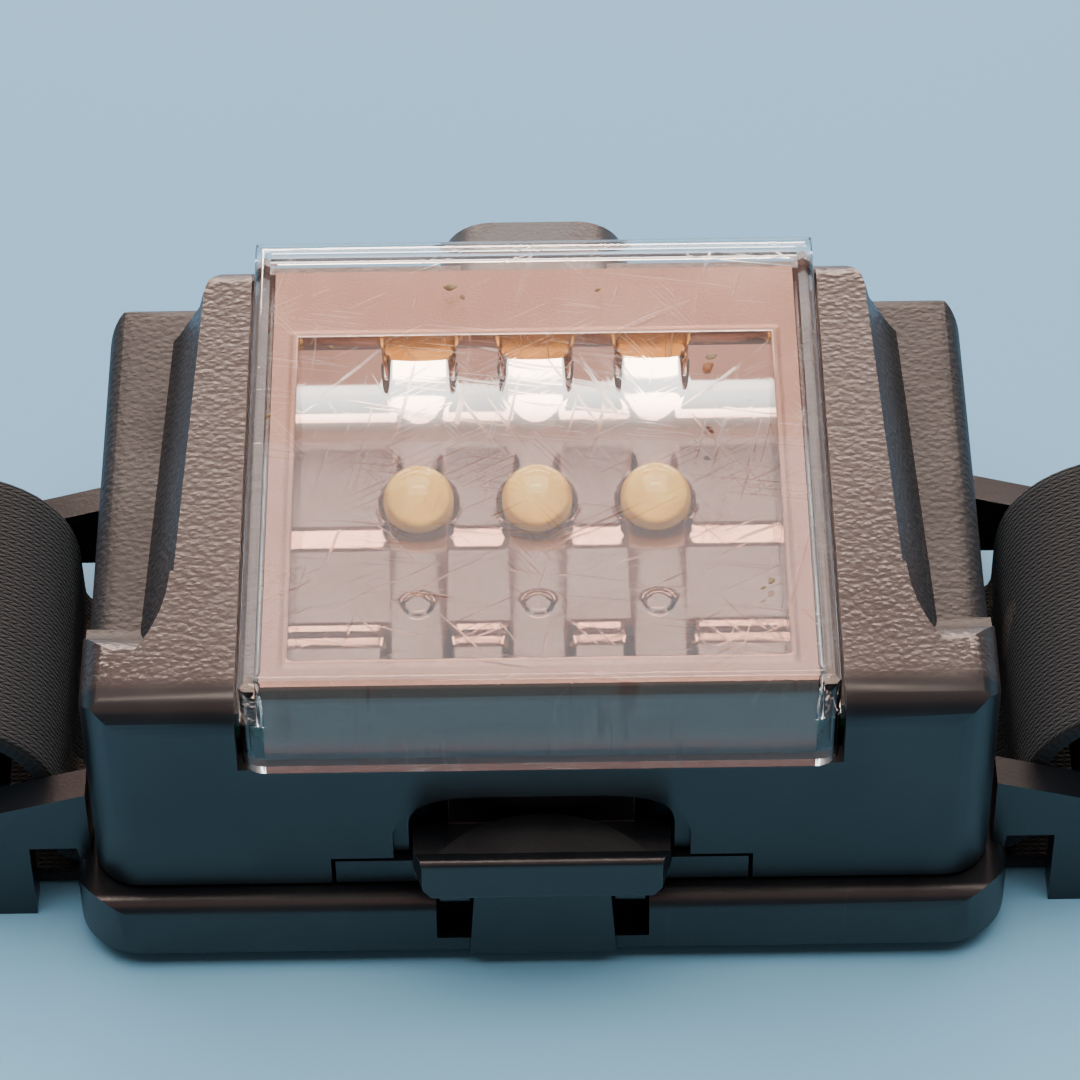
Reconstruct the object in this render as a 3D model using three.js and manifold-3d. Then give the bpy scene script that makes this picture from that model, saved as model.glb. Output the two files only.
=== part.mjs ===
// Headlamp on a woven headband, lying on its back: lens up (+Z), chin side towards -Y, crown side +Y.
// Millimetres. X runs from the wearer's one temple to the other.
import * as THREE from "three";
import { mergeVertices } from "three/addons/utils/BufferGeometryUtils.js";
import Module from "manifold-3d";

const wasm = await Module();
wasm.setup();

// ---------- driving dimensions ----------

const GAP = 0.3; // clearance between neighbouring pieces

// front housing, a deep shell that is open at the back
const HOUSING = { halfX: 31.6, halfY: 22.2, bottom: 7.25, top: 25.6, wall: 1.6, corner: 3.4, edge: 2.5 };
const RECESS = { top: 21.6, startY: -16.2, endY: -10.8, edgeX: 25.0, lean: 2.4, taper: 2.2, edge: 2.0 };

// lens cover, a clear saddle that wraps over the chin side and the crown side
const LENS = { halfX: 20.5, halfY: 22.75, top: 28.35, wall: 1.2, nearBend: 1.8, farBend: 3.0, corner: 1.6 };
const LENS_SKIRT = { near: 19.9, far: 25.3, side: 24.0 };

// reflector, one long trough with a channel through each LED
const REFLECTOR = { halfX: 18.9, nearY: -21.0, farY: 18.9, top: 26.8, bottom: 20.9 };
const TROUGH = { floor: 22.6, blockEndY: 13.5 };
const WINDOW = { halfX: 17.0, nearY: -19.0, farY: 12.0 };
const CHANNEL = { radius: 2.9, lift: 1.3 };

// LEDs, 5 mm round, leaning towards the chin side
const LED = { pitch: 8.4, radius: 2.5, height: 6.0, baseY: 0.23, baseZ: 20.6, lean: 0.47 };
const LED_CORE = { bore: 2.1, cup: 1.9, room: 3.3 };

// circuit board and the switch on it
const BOARD = { halfX: 22.4, halfY: 19.0, bottom: 19.6, top: 20.6 };
const BOARD_SCREW = { x: 20.7, y: 17.3, shank: 0.7, head: 1.5 };
const BUTTON = { halfX: 7.0, halfZ: 3.8, z: 21.4, out: 27.2 };
const STEM_LIFT = 0.8; // how far the button's stem is above its middle
const PLUNGER_END = 18.1;

// bracket plate with its wings and its centre tongue
const PLATE = { halfX: 33.0, halfY: 24.0, bottom: 1.8, top: 6.85, corner: 4.6, wall: 2.6, floor: 5.3 };
const TONGUE = { topHalf: 4.8, bottomHalf: 5.2, face: -24.4, notchOuter: 7.5, notchFloor: 3.1 };
const WING = { root: 32.0, outer: 42.2, barInner: 38.0, barBottom: 7.0, footInner: 36.4, notchTop: 7.3 };
const WING_TOP = { rootZ: 13.1, outerZ: 10.1 };

// headband, woven elastic
const BAND = { width: 24.6, thick: 1.4, centreY: -3.75, reach: 122.0, runZ: 9.9, crestX: 44.0, crestZ: 17.1 };
const BAND_SLOT = 25.1;
const CHANNEL_ROOF = 3.9;
const THREADED_Z = 2.9;
const SLIDER = { x: -92.0, halfX: 9.0, rail: 2.6, bar: 3.0, thick: 1.6 };

// hinges
const PIN = { radius: 0.8, bore: 1.0, knuckle: 1.4 };
const TILT_AXIS = { y: -23.0, z: 8.2 };
const COVER_AXIS = { y: 22.9, z: 8.8 };

// battery tray and its three AAA cells
const TRAY = { halfX: 29.6, nearY: -20.2, farY: 19.8, bottom: 7.3, floor: 8.5, wallTop: 13.0, endTop: 17.5 };
const CELL = { radius: 5.25, length: 44.5, pitch: 11.0, z: 14.0, nub: 0.9, nubRadius: 1.9 };
const CONTACT = { inner: 25.5, outer: 26.0, bottom: 9.6, top: 18.4, corner: 1.2 };
const PLATE_REACH = { inner: 4.4, outer: 6.2 }; // a contact plate's edge, from its cell's middle
const SPRING = { turns: 3.5, length: 2.4, foot: 2.9, taper: 0.7, wire: 0.25, baseX: 25.0 };
const BLADE_Y = 15.0;

// release tab in the chin-side wall
const TAB = { halfX: 9.0, bottom: 10.1, top: 15.3, back: -20.5, lipOut: -26.2 };
const TAB_LEVELS = { lip: 13.9, shelf: 12.1, moon: 13.4 };
const TAB_MOON = { radius: 9.2, back: -21.2, behindLip: 1.3 };
const TAB_RECESS = { halfX: 10.4, bottom: 9.0, shoulder: 12.6, top: 16.4, flatHalfX: 4.5, depth: 0.7 };

// The whole lamp, lip to button, is centred on Y = 0 by this shift.
const SHIFT_Y = -(BUTTON.out + TAB.lipOut) / 2;

// ---------- geometry helpers ----------

const ROUND = 20; // sides of a plain round piece
const DOME_STEPS = 3; // steps of the button's round edge

function solid(geometry) {
  const bare = geometry.index ? geometry.toNonIndexed() : geometry.clone();
  bare.deleteAttribute("normal");
  bare.deleteAttribute("uv");
  const merged = mergeVertices(bare, 1e-4);
  const index = merged.index.array;
  const kept = [];
  for (let i = 0; i < index.length; i += 3) {
    const [a, b, c] = [index[i], index[i + 1], index[i + 2]];
    if (a !== b && b !== c && c !== a) kept.push(a, b, c);
  }
  const vertProperties = new Float32Array(merged.attributes.position.array);
  return new wasm.Manifold(new wasm.Mesh({ numProp: 3, vertProperties, triVerts: new Uint32Array(kept) }));
}

function union(first, ...rest) {
  return rest.reduce((sum, next) => sum.add(next), first);
}

function cut(body, ...tools) {
  return tools.reduce((left, tool) => left.subtract(tool), body);
}

function box(x0, x1, y0, y1, z0, z1) {
  const geometry = new THREE.BoxGeometry(x1 - x0, y1 - y0, z1 - z0);
  geometry.translate((x0 + x1) / 2, (y0 + y1) / 2, (z0 + z1) / 2);
  return solid(geometry);
}

function extrusion(shape, depth, basis, curveSegments) {
  const geometry = new THREE.ExtrudeGeometry(shape, { depth, bevelEnabled: false, curveSegments, steps: 1 });
  geometry.applyMatrix4(basis);
  return solid(geometry);
}

// A shape drawn in (y, z), pushed along X.
function extrudeX(shape, x0, x1, curveSegments = 6) {
  const basis = new THREE.Matrix4().set(0, 0, 1, x0, 1, 0, 0, 0, 0, 1, 0, 0, 0, 0, 0, 1);
  return extrusion(shape, x1 - x0, basis, curveSegments);
}

// A shape drawn in (x, z), pushed along Y.
function extrudeY(shape, y0, y1, curveSegments = 6) {
  const basis = new THREE.Matrix4().set(1, 0, 0, 0, 0, 0, -1, y1, 0, 1, 0, 0, 0, 0, 0, 1);
  return extrusion(shape, y1 - y0, basis, curveSegments);
}

// A shape drawn in (x, y), pushed along Z.
function extrudeZ(shape, z0, z1, curveSegments = 6) {
  const basis = new THREE.Matrix4().makeTranslation(0, 0, z0);
  return extrusion(shape, z1 - z0, basis, curveSegments);
}

function polygon(points) {
  return new THREE.Shape(points.map(([u, v]) => new THREE.Vector2(u, v)));
}

function mirrored(points) {
  return points.map(([u, v]) => [-u, v]).reverse();
}

function roundedRect(u0, u1, v0, v1, radius) {
  const shape = new THREE.Shape();
  shape.moveTo(u0 + radius, v0);
  shape.lineTo(u1 - radius, v0);
  shape.absarc(u1 - radius, v0 + radius, radius, -Math.PI / 2, 0);
  shape.lineTo(u1, v1 - radius);
  shape.absarc(u1 - radius, v1 - radius, radius, 0, Math.PI / 2);
  shape.lineTo(u0 + radius, v1);
  shape.absarc(u0 + radius, v1 - radius, radius, Math.PI / 2, Math.PI);
  shape.lineTo(u0, v0 + radius);
  shape.absarc(u0 + radius, v0 + radius, radius, Math.PI, 1.5 * Math.PI);
  return shape;
}

// A rectangle whose two top corners are round, the one at u0 with a radius of its own if it is given.
function archedRect(u0, u1, v0, v1, radius, radiusAtU0 = radius) {
  const shape = new THREE.Shape();
  shape.moveTo(u0, v0);
  shape.lineTo(u1, v0);
  shape.lineTo(u1, v1 - radius);
  shape.absarc(u1 - radius, v1 - radius, radius, 0, Math.PI / 2);
  shape.lineTo(u0 + radiusAtU0, v1);
  shape.absarc(u0 + radiusAtU0, v1 - radiusAtU0, radiusAtU0, Math.PI / 2, Math.PI);
  return shape;
}

function rodX(radius, x0, x1, y, z, sides = ROUND) {
  const geometry = new THREE.CylinderGeometry(radius, radius, x1 - x0, sides);
  geometry.rotateZ(Math.PI / 2);
  geometry.translate((x0 + x1) / 2, y, z);
  return solid(geometry);
}

function rodY(radius, x, y0, y1, z, sides = ROUND) {
  const geometry = new THREE.CylinderGeometry(radius, radius, y1 - y0, sides);
  geometry.translate(x, (y0 + y1) / 2, z);
  return solid(geometry);
}

function rodZ(radius, x, y, z0, z1, sides = ROUND) {
  const geometry = new THREE.CylinderGeometry(radius, radius, z1 - z0, sides);
  geometry.rotateX(Math.PI / 2);
  geometry.translate(x, y, (z0 + z1) / 2);
  return solid(geometry);
}

// A turned body: profile points are (radius, height) from the axis to the axis, bottom first.
function turned(points, sides = ROUND) {
  return new THREE.LatheGeometry(points.map(([r, h]) => new THREE.Vector2(r, h)), sides);
}

// Points of an arc as (u, v) pairs.
function arc(u, v, radius, from, to, steps) {
  return Array.from({ length: steps + 1 }, (_, i) => {
    const angle = from + ((to - from) * i) / steps;
    return [u + radius * Math.cos(angle), v + radius * Math.sin(angle)];
  });
}

// ---------- materials ----------

function finish(color, roughness, metalness = 0, extra = {}) {
  return new THREE.MeshStandardMaterial({ color, roughness, metalness, ...extra });
}

const MATERIAL = {
  shell: finish(0x1d1b1f, 0.55),
  satin: finish(0x111318, 0.35),
  clear: finish(0xe6eef2, 0.05, 0, { transparent: true, opacity: 0.35 }),
  chrome: finish(0xc9c6c4, 0.12, 1),
  epoxy: finish(0xf2efe0, 0.08, 0, { transparent: true, opacity: 0.6 }),
  phosphor: finish(0xd8c45a, 0.4),
  board: finish(0x1f6b3d, 0.4),
  steel: finish(0xb4b6b8, 0.3, 1),
  cellWrap: finish(0x8a2f24, 0.35),
  rubber: finish(0x3a2f2c, 0.7),
  webbing: finish(0x4a3a30, 0.9),
  component: finish(0x15161a, 0.5),
};

const lamp = new THREE.Group();
lamp.position.y = SHIFT_Y;

function place(name, body, material) {
  const source = body.isBufferGeometry ? solid(body) : body;
  const { vertProperties, triVerts } = source.getMesh();
  const geometry = new THREE.BufferGeometry();
  geometry.setAttribute("position", new THREE.BufferAttribute(new Float32Array(vertProperties), 3));
  geometry.setIndex(new THREE.BufferAttribute(new Uint32Array(triVerts), 1));
  geometry.computeVertexNormals();
  const mesh = new THREE.Mesh(geometry, material);
  mesh.name = name;
  lamp.add(mesh);
}

const SIDES = [
  ["left", -1],
  ["right", 1],
];
const SCREW_PLACES = [-1, 1].flatMap((sx) => [-1, 1].map((sy) => [sx * BOARD_SCREW.x, sy * BOARD_SCREW.y]));

// ---------- bracket ----------

function wing(side) {
  const slope = (WING_TOP.rootZ - WING_TOP.outerZ) / (WING.outer - WING.root);
  const armOutline = [
    [WING.root - 1.0, PLATE.bottom + 2.4],
    [PLATE.halfX - 0.4, PLATE.bottom + 2.4],
    [PLATE.halfX, WING.notchTop],
    [WING.footInner, WING.notchTop],
    [WING.footInner, 0],
    [WING.outer, 0],
    [WING.outer, WING_TOP.outerZ - 1.2],
    [WING.outer - 1.0, WING_TOP.outerZ + slope],
    [WING.root, WING_TOP.rootZ],
    [WING.root, PLATE.top - 0.1],
    [WING.root - 1.0, PLATE.top - 0.1],
  ];
  const outline = side < 0 ? mirrored(armOutline) : armOutline;
  const nearInner = BAND.centreY - BAND_SLOT / 2;
  const farInner = BAND.centreY + BAND_SLOT / 2;
  const nearArm = extrudeY(polygon(outline), nearInner - 2.5, nearInner);
  const farArm = extrudeY(polygon(outline), farInner, farInner + 2.4);
  const barShape = roundedRect(WING.barInner, WING.outer - 0.2, WING.barBottom, WING_TOP.outerZ - 0.2, 1.3);
  const bar = extrudeY(barShape, nearInner - 0.5, farInner + 0.5, 4);
  const placedBar = side < 0 ? bar.mirror([1, 0, 0]) : bar;
  return union(nearArm, farArm, placedBar);
}

function bracket() {
  const plan = roundedRect(-PLATE.halfX, PLATE.halfX, -PLATE.halfY, PLATE.halfY, PLATE.corner);
  const rimArch = archedRect(-PLATE.halfX, PLATE.halfX, PLATE.bottom, PLATE.top, 1.4);
  const depthArch = archedRect(-PLATE.halfY, PLATE.halfY, PLATE.bottom, PLATE.top, 1.4);
  let body = extrudeZ(plan, PLATE.bottom, PLATE.top)
    .intersect(extrudeY(rimArch, -PLATE.halfY, PLATE.halfY, 4))
    .intersect(extrudeX(depthArch, -PLATE.halfX, PLATE.halfX, 4));
  const innerX = PLATE.halfX - PLATE.wall;
  const innerY = PLATE.halfY - PLATE.wall;
  const pocket = extrudeZ(roundedRect(-innerX, innerX, -innerY, innerY, 2.2), PLATE.floor, PLATE.top + 1);
  const channelHalf = BAND_SLOT / 2 + 0.2;
  const channel = box(-50, 50, BAND.centreY - channelHalf, BAND.centreY + channelHalf, 0, CHANNEL_ROOF);
  body = cut(body, pocket, channel);
  const ribs = [-12, 12].map((x) => box(x - 0.6, x + 0.6, -innerY - 1, innerY + 1, PLATE.floor - 1, 6.2));
  const tongueOutline = [
    [-TONGUE.bottomHalf, PLATE.bottom],
    [TONGUE.bottomHalf, PLATE.bottom],
    [TONGUE.topHalf, TILT_AXIS.z],
    [-TONGUE.topHalf, TILT_AXIS.z],
  ];
  const notches = [-1, 1].map((s) => {
    const [a, b] = [s * (TONGUE.topHalf + 0.1), s * TONGUE.notchOuter];
    return box(Math.min(a, b), Math.max(a, b), -PLATE.halfY - 1, -innerY + 0.1, TONGUE.notchFloor, 12);
  });
  const tongue = extrudeY(polygon(tongueOutline), TONGUE.face, TONGUE.face + 1.9);
  const knuckle = rodX(PIN.knuckle, -TONGUE.topHalf, TONGUE.topHalf, TILT_AXIS.y, TILT_AXIS.z);
  const bore = rodX(PIN.bore, -10, 10, TILT_AXIS.y, TILT_AXIS.z);
  body = union(cut(union(body, ...ribs), ...notches), tongue, knuckle, wing(-1), wing(1));
  return cut(body, bore);
}

// ---------- headband ----------

// The band's middle line in (x, z): it starts under its own tail, runs round the back of the head,
// over one wing, behind the plate and over the other wing, and ends on top of its start.
function bandLine() {
  const { reach, runZ, crestX, crestZ, thick } = BAND;
  const foldRadius = (runZ - thick / 2) / 2;
  const foldZ = thick / 2 + foldRadius;
  const slotX = 34.7;
  const tailZ = runZ + thick + GAP;
  const line = new THREE.Path();
  line.moveTo(-72, runZ);
  line.lineTo(-reach, runZ);
  line.absarc(-reach, foldZ, foldRadius, Math.PI / 2, 1.5 * Math.PI, false);
  line.lineTo(reach, thick / 2);
  line.absarc(reach, foldZ, foldRadius, -Math.PI / 2, Math.PI / 2, false);
  line.lineTo(70, runZ);
  line.bezierCurveTo(60, runZ, 52, crestZ, crestX, crestZ);
  line.bezierCurveTo(38.6, crestZ, slotX, 13.6, slotX, 8.6);
  line.lineTo(slotX, THREADED_Z + 2.2);
  line.quadraticCurveTo(slotX, THREADED_Z, slotX - 2.2, THREADED_Z);
  line.lineTo(2.2 - slotX, THREADED_Z);
  line.quadraticCurveTo(-slotX, THREADED_Z, -slotX, THREADED_Z + 2.2);
  line.lineTo(-slotX, 8.6);
  line.bezierCurveTo(-slotX, 13.6, -38.6, crestZ, -crestX, crestZ);
  line.bezierCurveTo(-52, crestZ, -58, tailZ, -68, tailZ);
  line.lineTo(-114, tailZ);
  return line.getPoints(10);
}

function ribbon(points, thick) {
  const clean = points.filter((p, i) => i === 0 || p.distanceTo(points[i - 1]) > 0.05);
  const offset = (sign) =>
    clean.map((p, i) => {
      const before = clean[Math.max(i - 1, 0)];
      const after = clean[Math.min(i + 1, clean.length - 1)];
      const along = after.clone().sub(before).normalize();
      return new THREE.Vector2(p.x - (sign * along.y * thick) / 2, p.y + (sign * along.x * thick) / 2);
    });
  return new THREE.Shape([...offset(-1), ...offset(1).reverse()]);
}

function headband() {
  const near = BAND.centreY - BAND.width / 2;
  return extrudeY(ribbon(bandLine(), BAND.thick), near, near + BAND.width);
}

function bandSlider() {
  const low = BAND.runZ - BAND.thick / 2 - GAP;
  const high = BAND.runZ + 1.5 * BAND.thick + 2 * GAP;
  const near = BAND.centreY - BAND.width / 2 - GAP - 0.2;
  const far = BAND.centreY + BAND.width / 2 + GAP + 0.2;
  const [x0, x1] = [SLIDER.x - SLIDER.halfX, SLIDER.x + SLIDER.halfX];
  const railShape = roundedRect(x0, x1, low - SLIDER.thick, high + SLIDER.thick, 1.5);
  const nearRail = extrudeY(railShape, near - SLIDER.rail, near, 4);
  const farRail = extrudeY(railShape, far, far + SLIDER.rail, 4);
  const endBars = [x0, x1 - SLIDER.bar].map((x) =>
    box(x, x + SLIDER.bar, near - 1, far + 1, high, high + SLIDER.thick),
  );
  const half = SLIDER.bar / 2;
  const middle = box(SLIDER.x - half, SLIDER.x + half, near - 1, far + 1, low - SLIDER.thick, low);
  const inside = extrudeY(railShape, near - SLIDER.rail, far + SLIDER.rail, 4);
  return union(nearRail, farRail, ...[...endBars, middle].map((bar) => bar.intersect(inside)));
}

// ---------- rear cover, the battery tray ----------

function rearCover() {
  const { halfX, nearY, farY, bottom, floor, wallTop, endTop } = TRAY;
  const base = extrudeZ(roundedRect(-halfX, halfX, nearY, farY, 2.0), bottom, floor);
  const boss = union(
    box(-14.5, 14.5, -HOUSING.halfY, nearY, bottom, 9.6),
    box(-14.5, 14.5, nearY - 0.5, nearY + 1, bottom, floor),
  );
  const lugs = [-1, 1].map((s) => {
    const [a, b] = [s * (TONGUE.topHalf + GAP), s * (TONGUE.notchOuter - GAP)];
    const [x0, x1] = [Math.min(a, b), Math.max(a, b)];
    const web = box(x0, x1, TILT_AXIS.y, -HOUSING.halfY + 0.5, TILT_AXIS.z - 0.9, TILT_AXIS.z + PIN.knuckle);
    return union(rodX(PIN.knuckle, x0, x1, TILT_AXIS.y, TILT_AXIS.z), web);
  });
  const knuckleRoom = rodX(PIN.knuckle + 0.35, -5.1, 5.1, TILT_AXIS.y, TILT_AXIS.z);
  const tiltBore = rodX(PIN.bore, -9, 9, TILT_AXIS.y, TILT_AXIS.z);
  const arms = [-16, 16].map((x) => {
    const arm = box(x - 2.5, x + 2.5, farY - 1, COVER_AXIS.y, bottom, floor);
    return union(arm, rodX(PIN.knuckle, x - 2.5, x + 2.5, COVER_AXIS.y, COVER_AXIS.z));
  });
  const coverBore = rodX(PIN.bore, -25, 25, COVER_AXIS.y, COVER_AXIS.z);
  const wells = [
    box(-27.6, -26.4, -18.8, 18.8, floor - 0.5, endTop),
    box(26.4, 27.6, -18.8, 18.8, floor - 0.5, endTop),
    box(-27.6, 27.6, -19.1, -18.0, floor - 0.5, wallTop),
    box(-27.6, 27.6, 18.0, 19.1, floor - 0.5, wallTop),
  ];
  const ridges = [-1, 1].map((s) => {
    const y = (s * CELL.pitch) / 2;
    return box(-24, 24, y - 0.8, y + 0.8, 8, 10.5);
  });
  const catchLedge = box(-6, 6, -19.5, -18.5, 11.2, 12.4);
  const body = union(base, boss, ...lugs, ...arms, ...wells, ...ridges, catchLedge);
  return cut(body, knuckleRoom, tiltBore, coverBore);
}

// An AAA cell along X; direction +1 puts its positive end towards +X.
function cell(y, direction) {
  const half = CELL.length / 2;
  const profile = [
    [0, -half],
    [CELL.radius - 0.5, -half],
    [CELL.radius, -half + 0.5],
    [CELL.radius, half - CELL.nub - 0.7],
    [CELL.radius - 0.7, half - CELL.nub],
    [CELL.nubRadius, half - CELL.nub],
    [CELL.nubRadius, half - 0.2],
    [CELL.nubRadius - 0.2, half],
    [0, half],
  ];
  const geometry = turned(profile, 20);
  geometry.rotateZ((-direction * Math.PI) / 2);
  geometry.translate(0, y, CELL.z);
  return geometry;
}

function contactPlate(side, ys) {
  const { inner, outer, bottom, top, corner } = CONTACT;
  const [x0, x1] = side < 0 ? [-outer, -inner] : [inner, outer];
  const [low, high] = [Math.min(...ys), Math.max(...ys)];
  const y0 = low - (low < -1 ? PLATE_REACH.outer : PLATE_REACH.inner);
  const y1 = high + (high > 1 ? PLATE_REACH.outer : PLATE_REACH.inner);
  return extrudeX(roundedRect(y0, y1, bottom, top, corner), x0, x1, 3);
}

// A coil spring along X that presses on a cell's flat end.
function coilSpring(y, side) {
  const { turns, length, foot, taper, wire, baseX } = SPRING;
  class Helix extends THREE.Curve {
    getPoint(t, target = new THREE.Vector3()) {
      const angle = 2 * Math.PI * turns * t;
      const radius = foot - taper * t;
      const x = side * (baseX - length * t);
      return target.set(x, y + radius * Math.cos(angle), CELL.z + radius * Math.sin(angle));
    }
  }
  const section = new THREE.Shape();
  section.absarc(0, 0, wire, 0, 2 * Math.PI);
  return new THREE.ExtrudeGeometry(section, { steps: 34, curveSegments: 2, extrudePath: new Helix() });
}

function sealRing() {
  const { halfX, nearY, farY, floor } = TRAY;
  const low = floor + 0.1;
  const outer = roundedRect(-halfX + 0.2, halfX - 0.2, nearY + 0.1, farY - 0.1, 1.8);
  outer.holes.push(roundedRect(-halfX + 0.9, halfX - 0.9, nearY + 0.8, farY - 0.6, 1.2));
  return extrudeZ(outer, low, low + 0.8, 3);
}

// ---------- front housing ----------

function recessCut(side) {
  const { startY, endY, top, edgeX, lean, taper } = RECESS;
  const middleY = (startY + endY) / 2;
  const middleZ = (HOUSING.top + top) / 2;
  const floor = top - 2.5;
  const above = HOUSING.top + 5;
  const ramp = new THREE.Shape();
  ramp.moveTo(startY, above);
  ramp.lineTo(startY - 0.6, HOUSING.top + 0.1);
  ramp.quadraticCurveTo(startY + 1.4, HOUSING.top - 0.2, middleY, middleZ);
  ramp.quadraticCurveTo(endY - 1.4, top, endY, top);
  ramp.lineTo(endY + 1.5, floor);
  ramp.lineTo(30, floor);
  ramp.lineTo(30, above);
  const outerSide = extrudeY(
    polygon([
      [edgeX + lean, floor],
      [45, floor],
      [45, above],
      [edgeX, above],
      [edgeX, HOUSING.top],
      [edgeX + lean * 0.8, top + 0.6],
      [edgeX + lean, top],
    ]),
    -30,
    30,
  ).rotate([0, 0, taper]);
  const plan = new THREE.Shape();
  plan.moveTo(20, 30);
  plan.lineTo(20, -9);
  plan.lineTo(edgeX + 0.6, -9);
  plan.quadraticCurveTo(edgeX + 0.8, startY + 1.2, edgeX + 5, startY - 3);
  plan.lineTo(45, startY - 3);
  plan.lineTo(45, 30);
  const corner = polygon([
    [22.3, 30],
    [22.3, 22.3],
    [24.0, 20.2],
    [24.6, 17.8],
    [45, 17.8],
    [45, 30],
  ]);
  const ramped = extrudeX(ramp, 0, 45);
  const tool = union(
    extrudeZ(plan, floor, above).intersect(outerSide).intersect(ramped),
    extrudeZ(corner, floor, above).intersect(ramped),
  );
  return side < 0 ? tool.mirror([1, 0, 0]) : tool;
}

function housingBlock(top, edge) {
  const { halfX, halfY, bottom, corner } = HOUSING;
  return extrudeZ(roundedRect(-halfX, halfX, -halfY, halfY, corner), bottom, top)
    .intersect(extrudeY(archedRect(-halfX, halfX, bottom, top, edge), -halfY, halfY, 5))
    .intersect(extrudeX(archedRect(-halfY, halfY, bottom, top, edge), -halfX, halfX, 5));
}

function tabRecess() {
  const face = -HOUSING.halfY;
  const { halfX, bottom, shoulder, top, flatHalfX, depth } = TAB_RECESS;
  const [pullX, pullZ] = [halfX - 0.4, shoulder + 2.6];
  const crownX = (halfX + flatHalfX) / 2;
  const shape = new THREE.Shape();
  shape.moveTo(-halfX, bottom);
  shape.lineTo(halfX, bottom);
  shape.lineTo(halfX, shoulder);
  shape.bezierCurveTo(pullX, pullZ, crownX, top, flatHalfX, top);
  shape.lineTo(-flatHalfX, top);
  shape.bezierCurveTo(-crownX, top, -pullX, pullZ, -halfX, shoulder);
  return extrudeY(shape, face - 1, face + depth);
}

function frontHousing() {
  const { halfX, halfY, bottom, top, wall, corner } = HOUSING;
  const innerX = halfX - wall;
  const innerY = halfY - wall;
  const lower = housingBlock(RECESS.top, RECESS.edge);
  const upper = cut(housingBlock(top, HOUSING.edge), recessCut(-1), recessCut(1));
  const innerPlan = roundedRect(-innerX, innerX, -innerY, innerY, corner - wall);
  const hollow = union(
    extrudeZ(innerPlan, bottom - 1, RECESS.top - wall, 4),
    box(-23.0, 23.0, -innerY, innerY, RECESS.top - wall - 1, top - wall),
  );
  const collars = [-1, 1].map((s) => {
    const [a, b] = [s * (REFLECTOR.halfX + GAP), s * 22.2];
    return box(Math.min(a, b), Math.max(a, b), -innerY - 0.5, innerY + 0.5, 22.4, top - 0.5);
  });
  const posts = SCREW_PLACES.map(([x, y]) => rodZ(1.9, x, y, BOARD.top + GAP, top - 1, 16));
  const screwHoles = SCREW_PLACES.map(([x, y]) => rodZ(0.9, x, y, BOARD.bottom, 23.0, 12));
  const reflectorRoom = box(
    -REFLECTOR.halfX - GAP,
    REFLECTOR.halfX + GAP,
    -halfY - 1,
    innerY,
    BOARD.top - 0.5,
    top + 3,
  );
  const lensSeat = union(
    box(-LENS.halfX - GAP, LENS.halfX + GAP, -halfY - 1, halfY + 1, 25.0, top + 3),
    box(-LENS.halfX - GAP, LENS.halfX + GAP, -innerY - 1, innerY, LENS_SKIRT.side - GAP, top + 3),
    box(-LENS.halfX - GAP, LENS.halfX + GAP, -halfY - 1, -innerY, LENS_SKIRT.near - GAP, top + 3),
  );
  const bossNotch = box(-14.8, 14.8, -halfY - 1, -innerY + 1, bottom - 1, 9.9);
  const windowShape = archedRect(-TAB.halfX - GAP, TAB.halfX + GAP, TAB_RECESS.bottom, TAB.top + GAP, 3.0);
  const tabWindow = extrudeY(windowShape, -halfY - 1, -innerY + 1);
  const armNotches = [-16, 16].map((x) => box(x - 2.8, x + 2.8, innerY - 1, halfY + 1, bottom - 1, 10.8));
  const hingeKnuckles = [-20.4, -11.6, 11.6, 20.4].map((x) =>
    rodX(PIN.knuckle, x - 1.6, x + 1.6, COVER_AXIS.y, COVER_AXIS.z),
  );
  const coverBore = rodX(PIN.bore, -25, 25, COVER_AXIS.y, COVER_AXIS.z);
  const buttonHole = extrudeY(
    roundedRect(
      -BUTTON.halfX - GAP,
      BUTTON.halfX + GAP,
      BUTTON.z - BUTTON.halfZ - GAP,
      BUTTON.z + BUTTON.halfZ + GAP,
      BUTTON.halfZ,
    ),
    innerY - 1,
    halfY + 1,
  );
  let body = cut(union(lower, upper), hollow);
  body = union(body, ...collars, ...posts);
  body = cut(body, reflectorRoom, lensSeat, ...screwHoles);
  body = cut(body, bossNotch, tabRecess(), tabWindow, ...armNotches, buttonHole);
  return cut(union(body, ...hingeKnuckles), coverBore);
}

// ---------- release tab ----------

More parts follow.
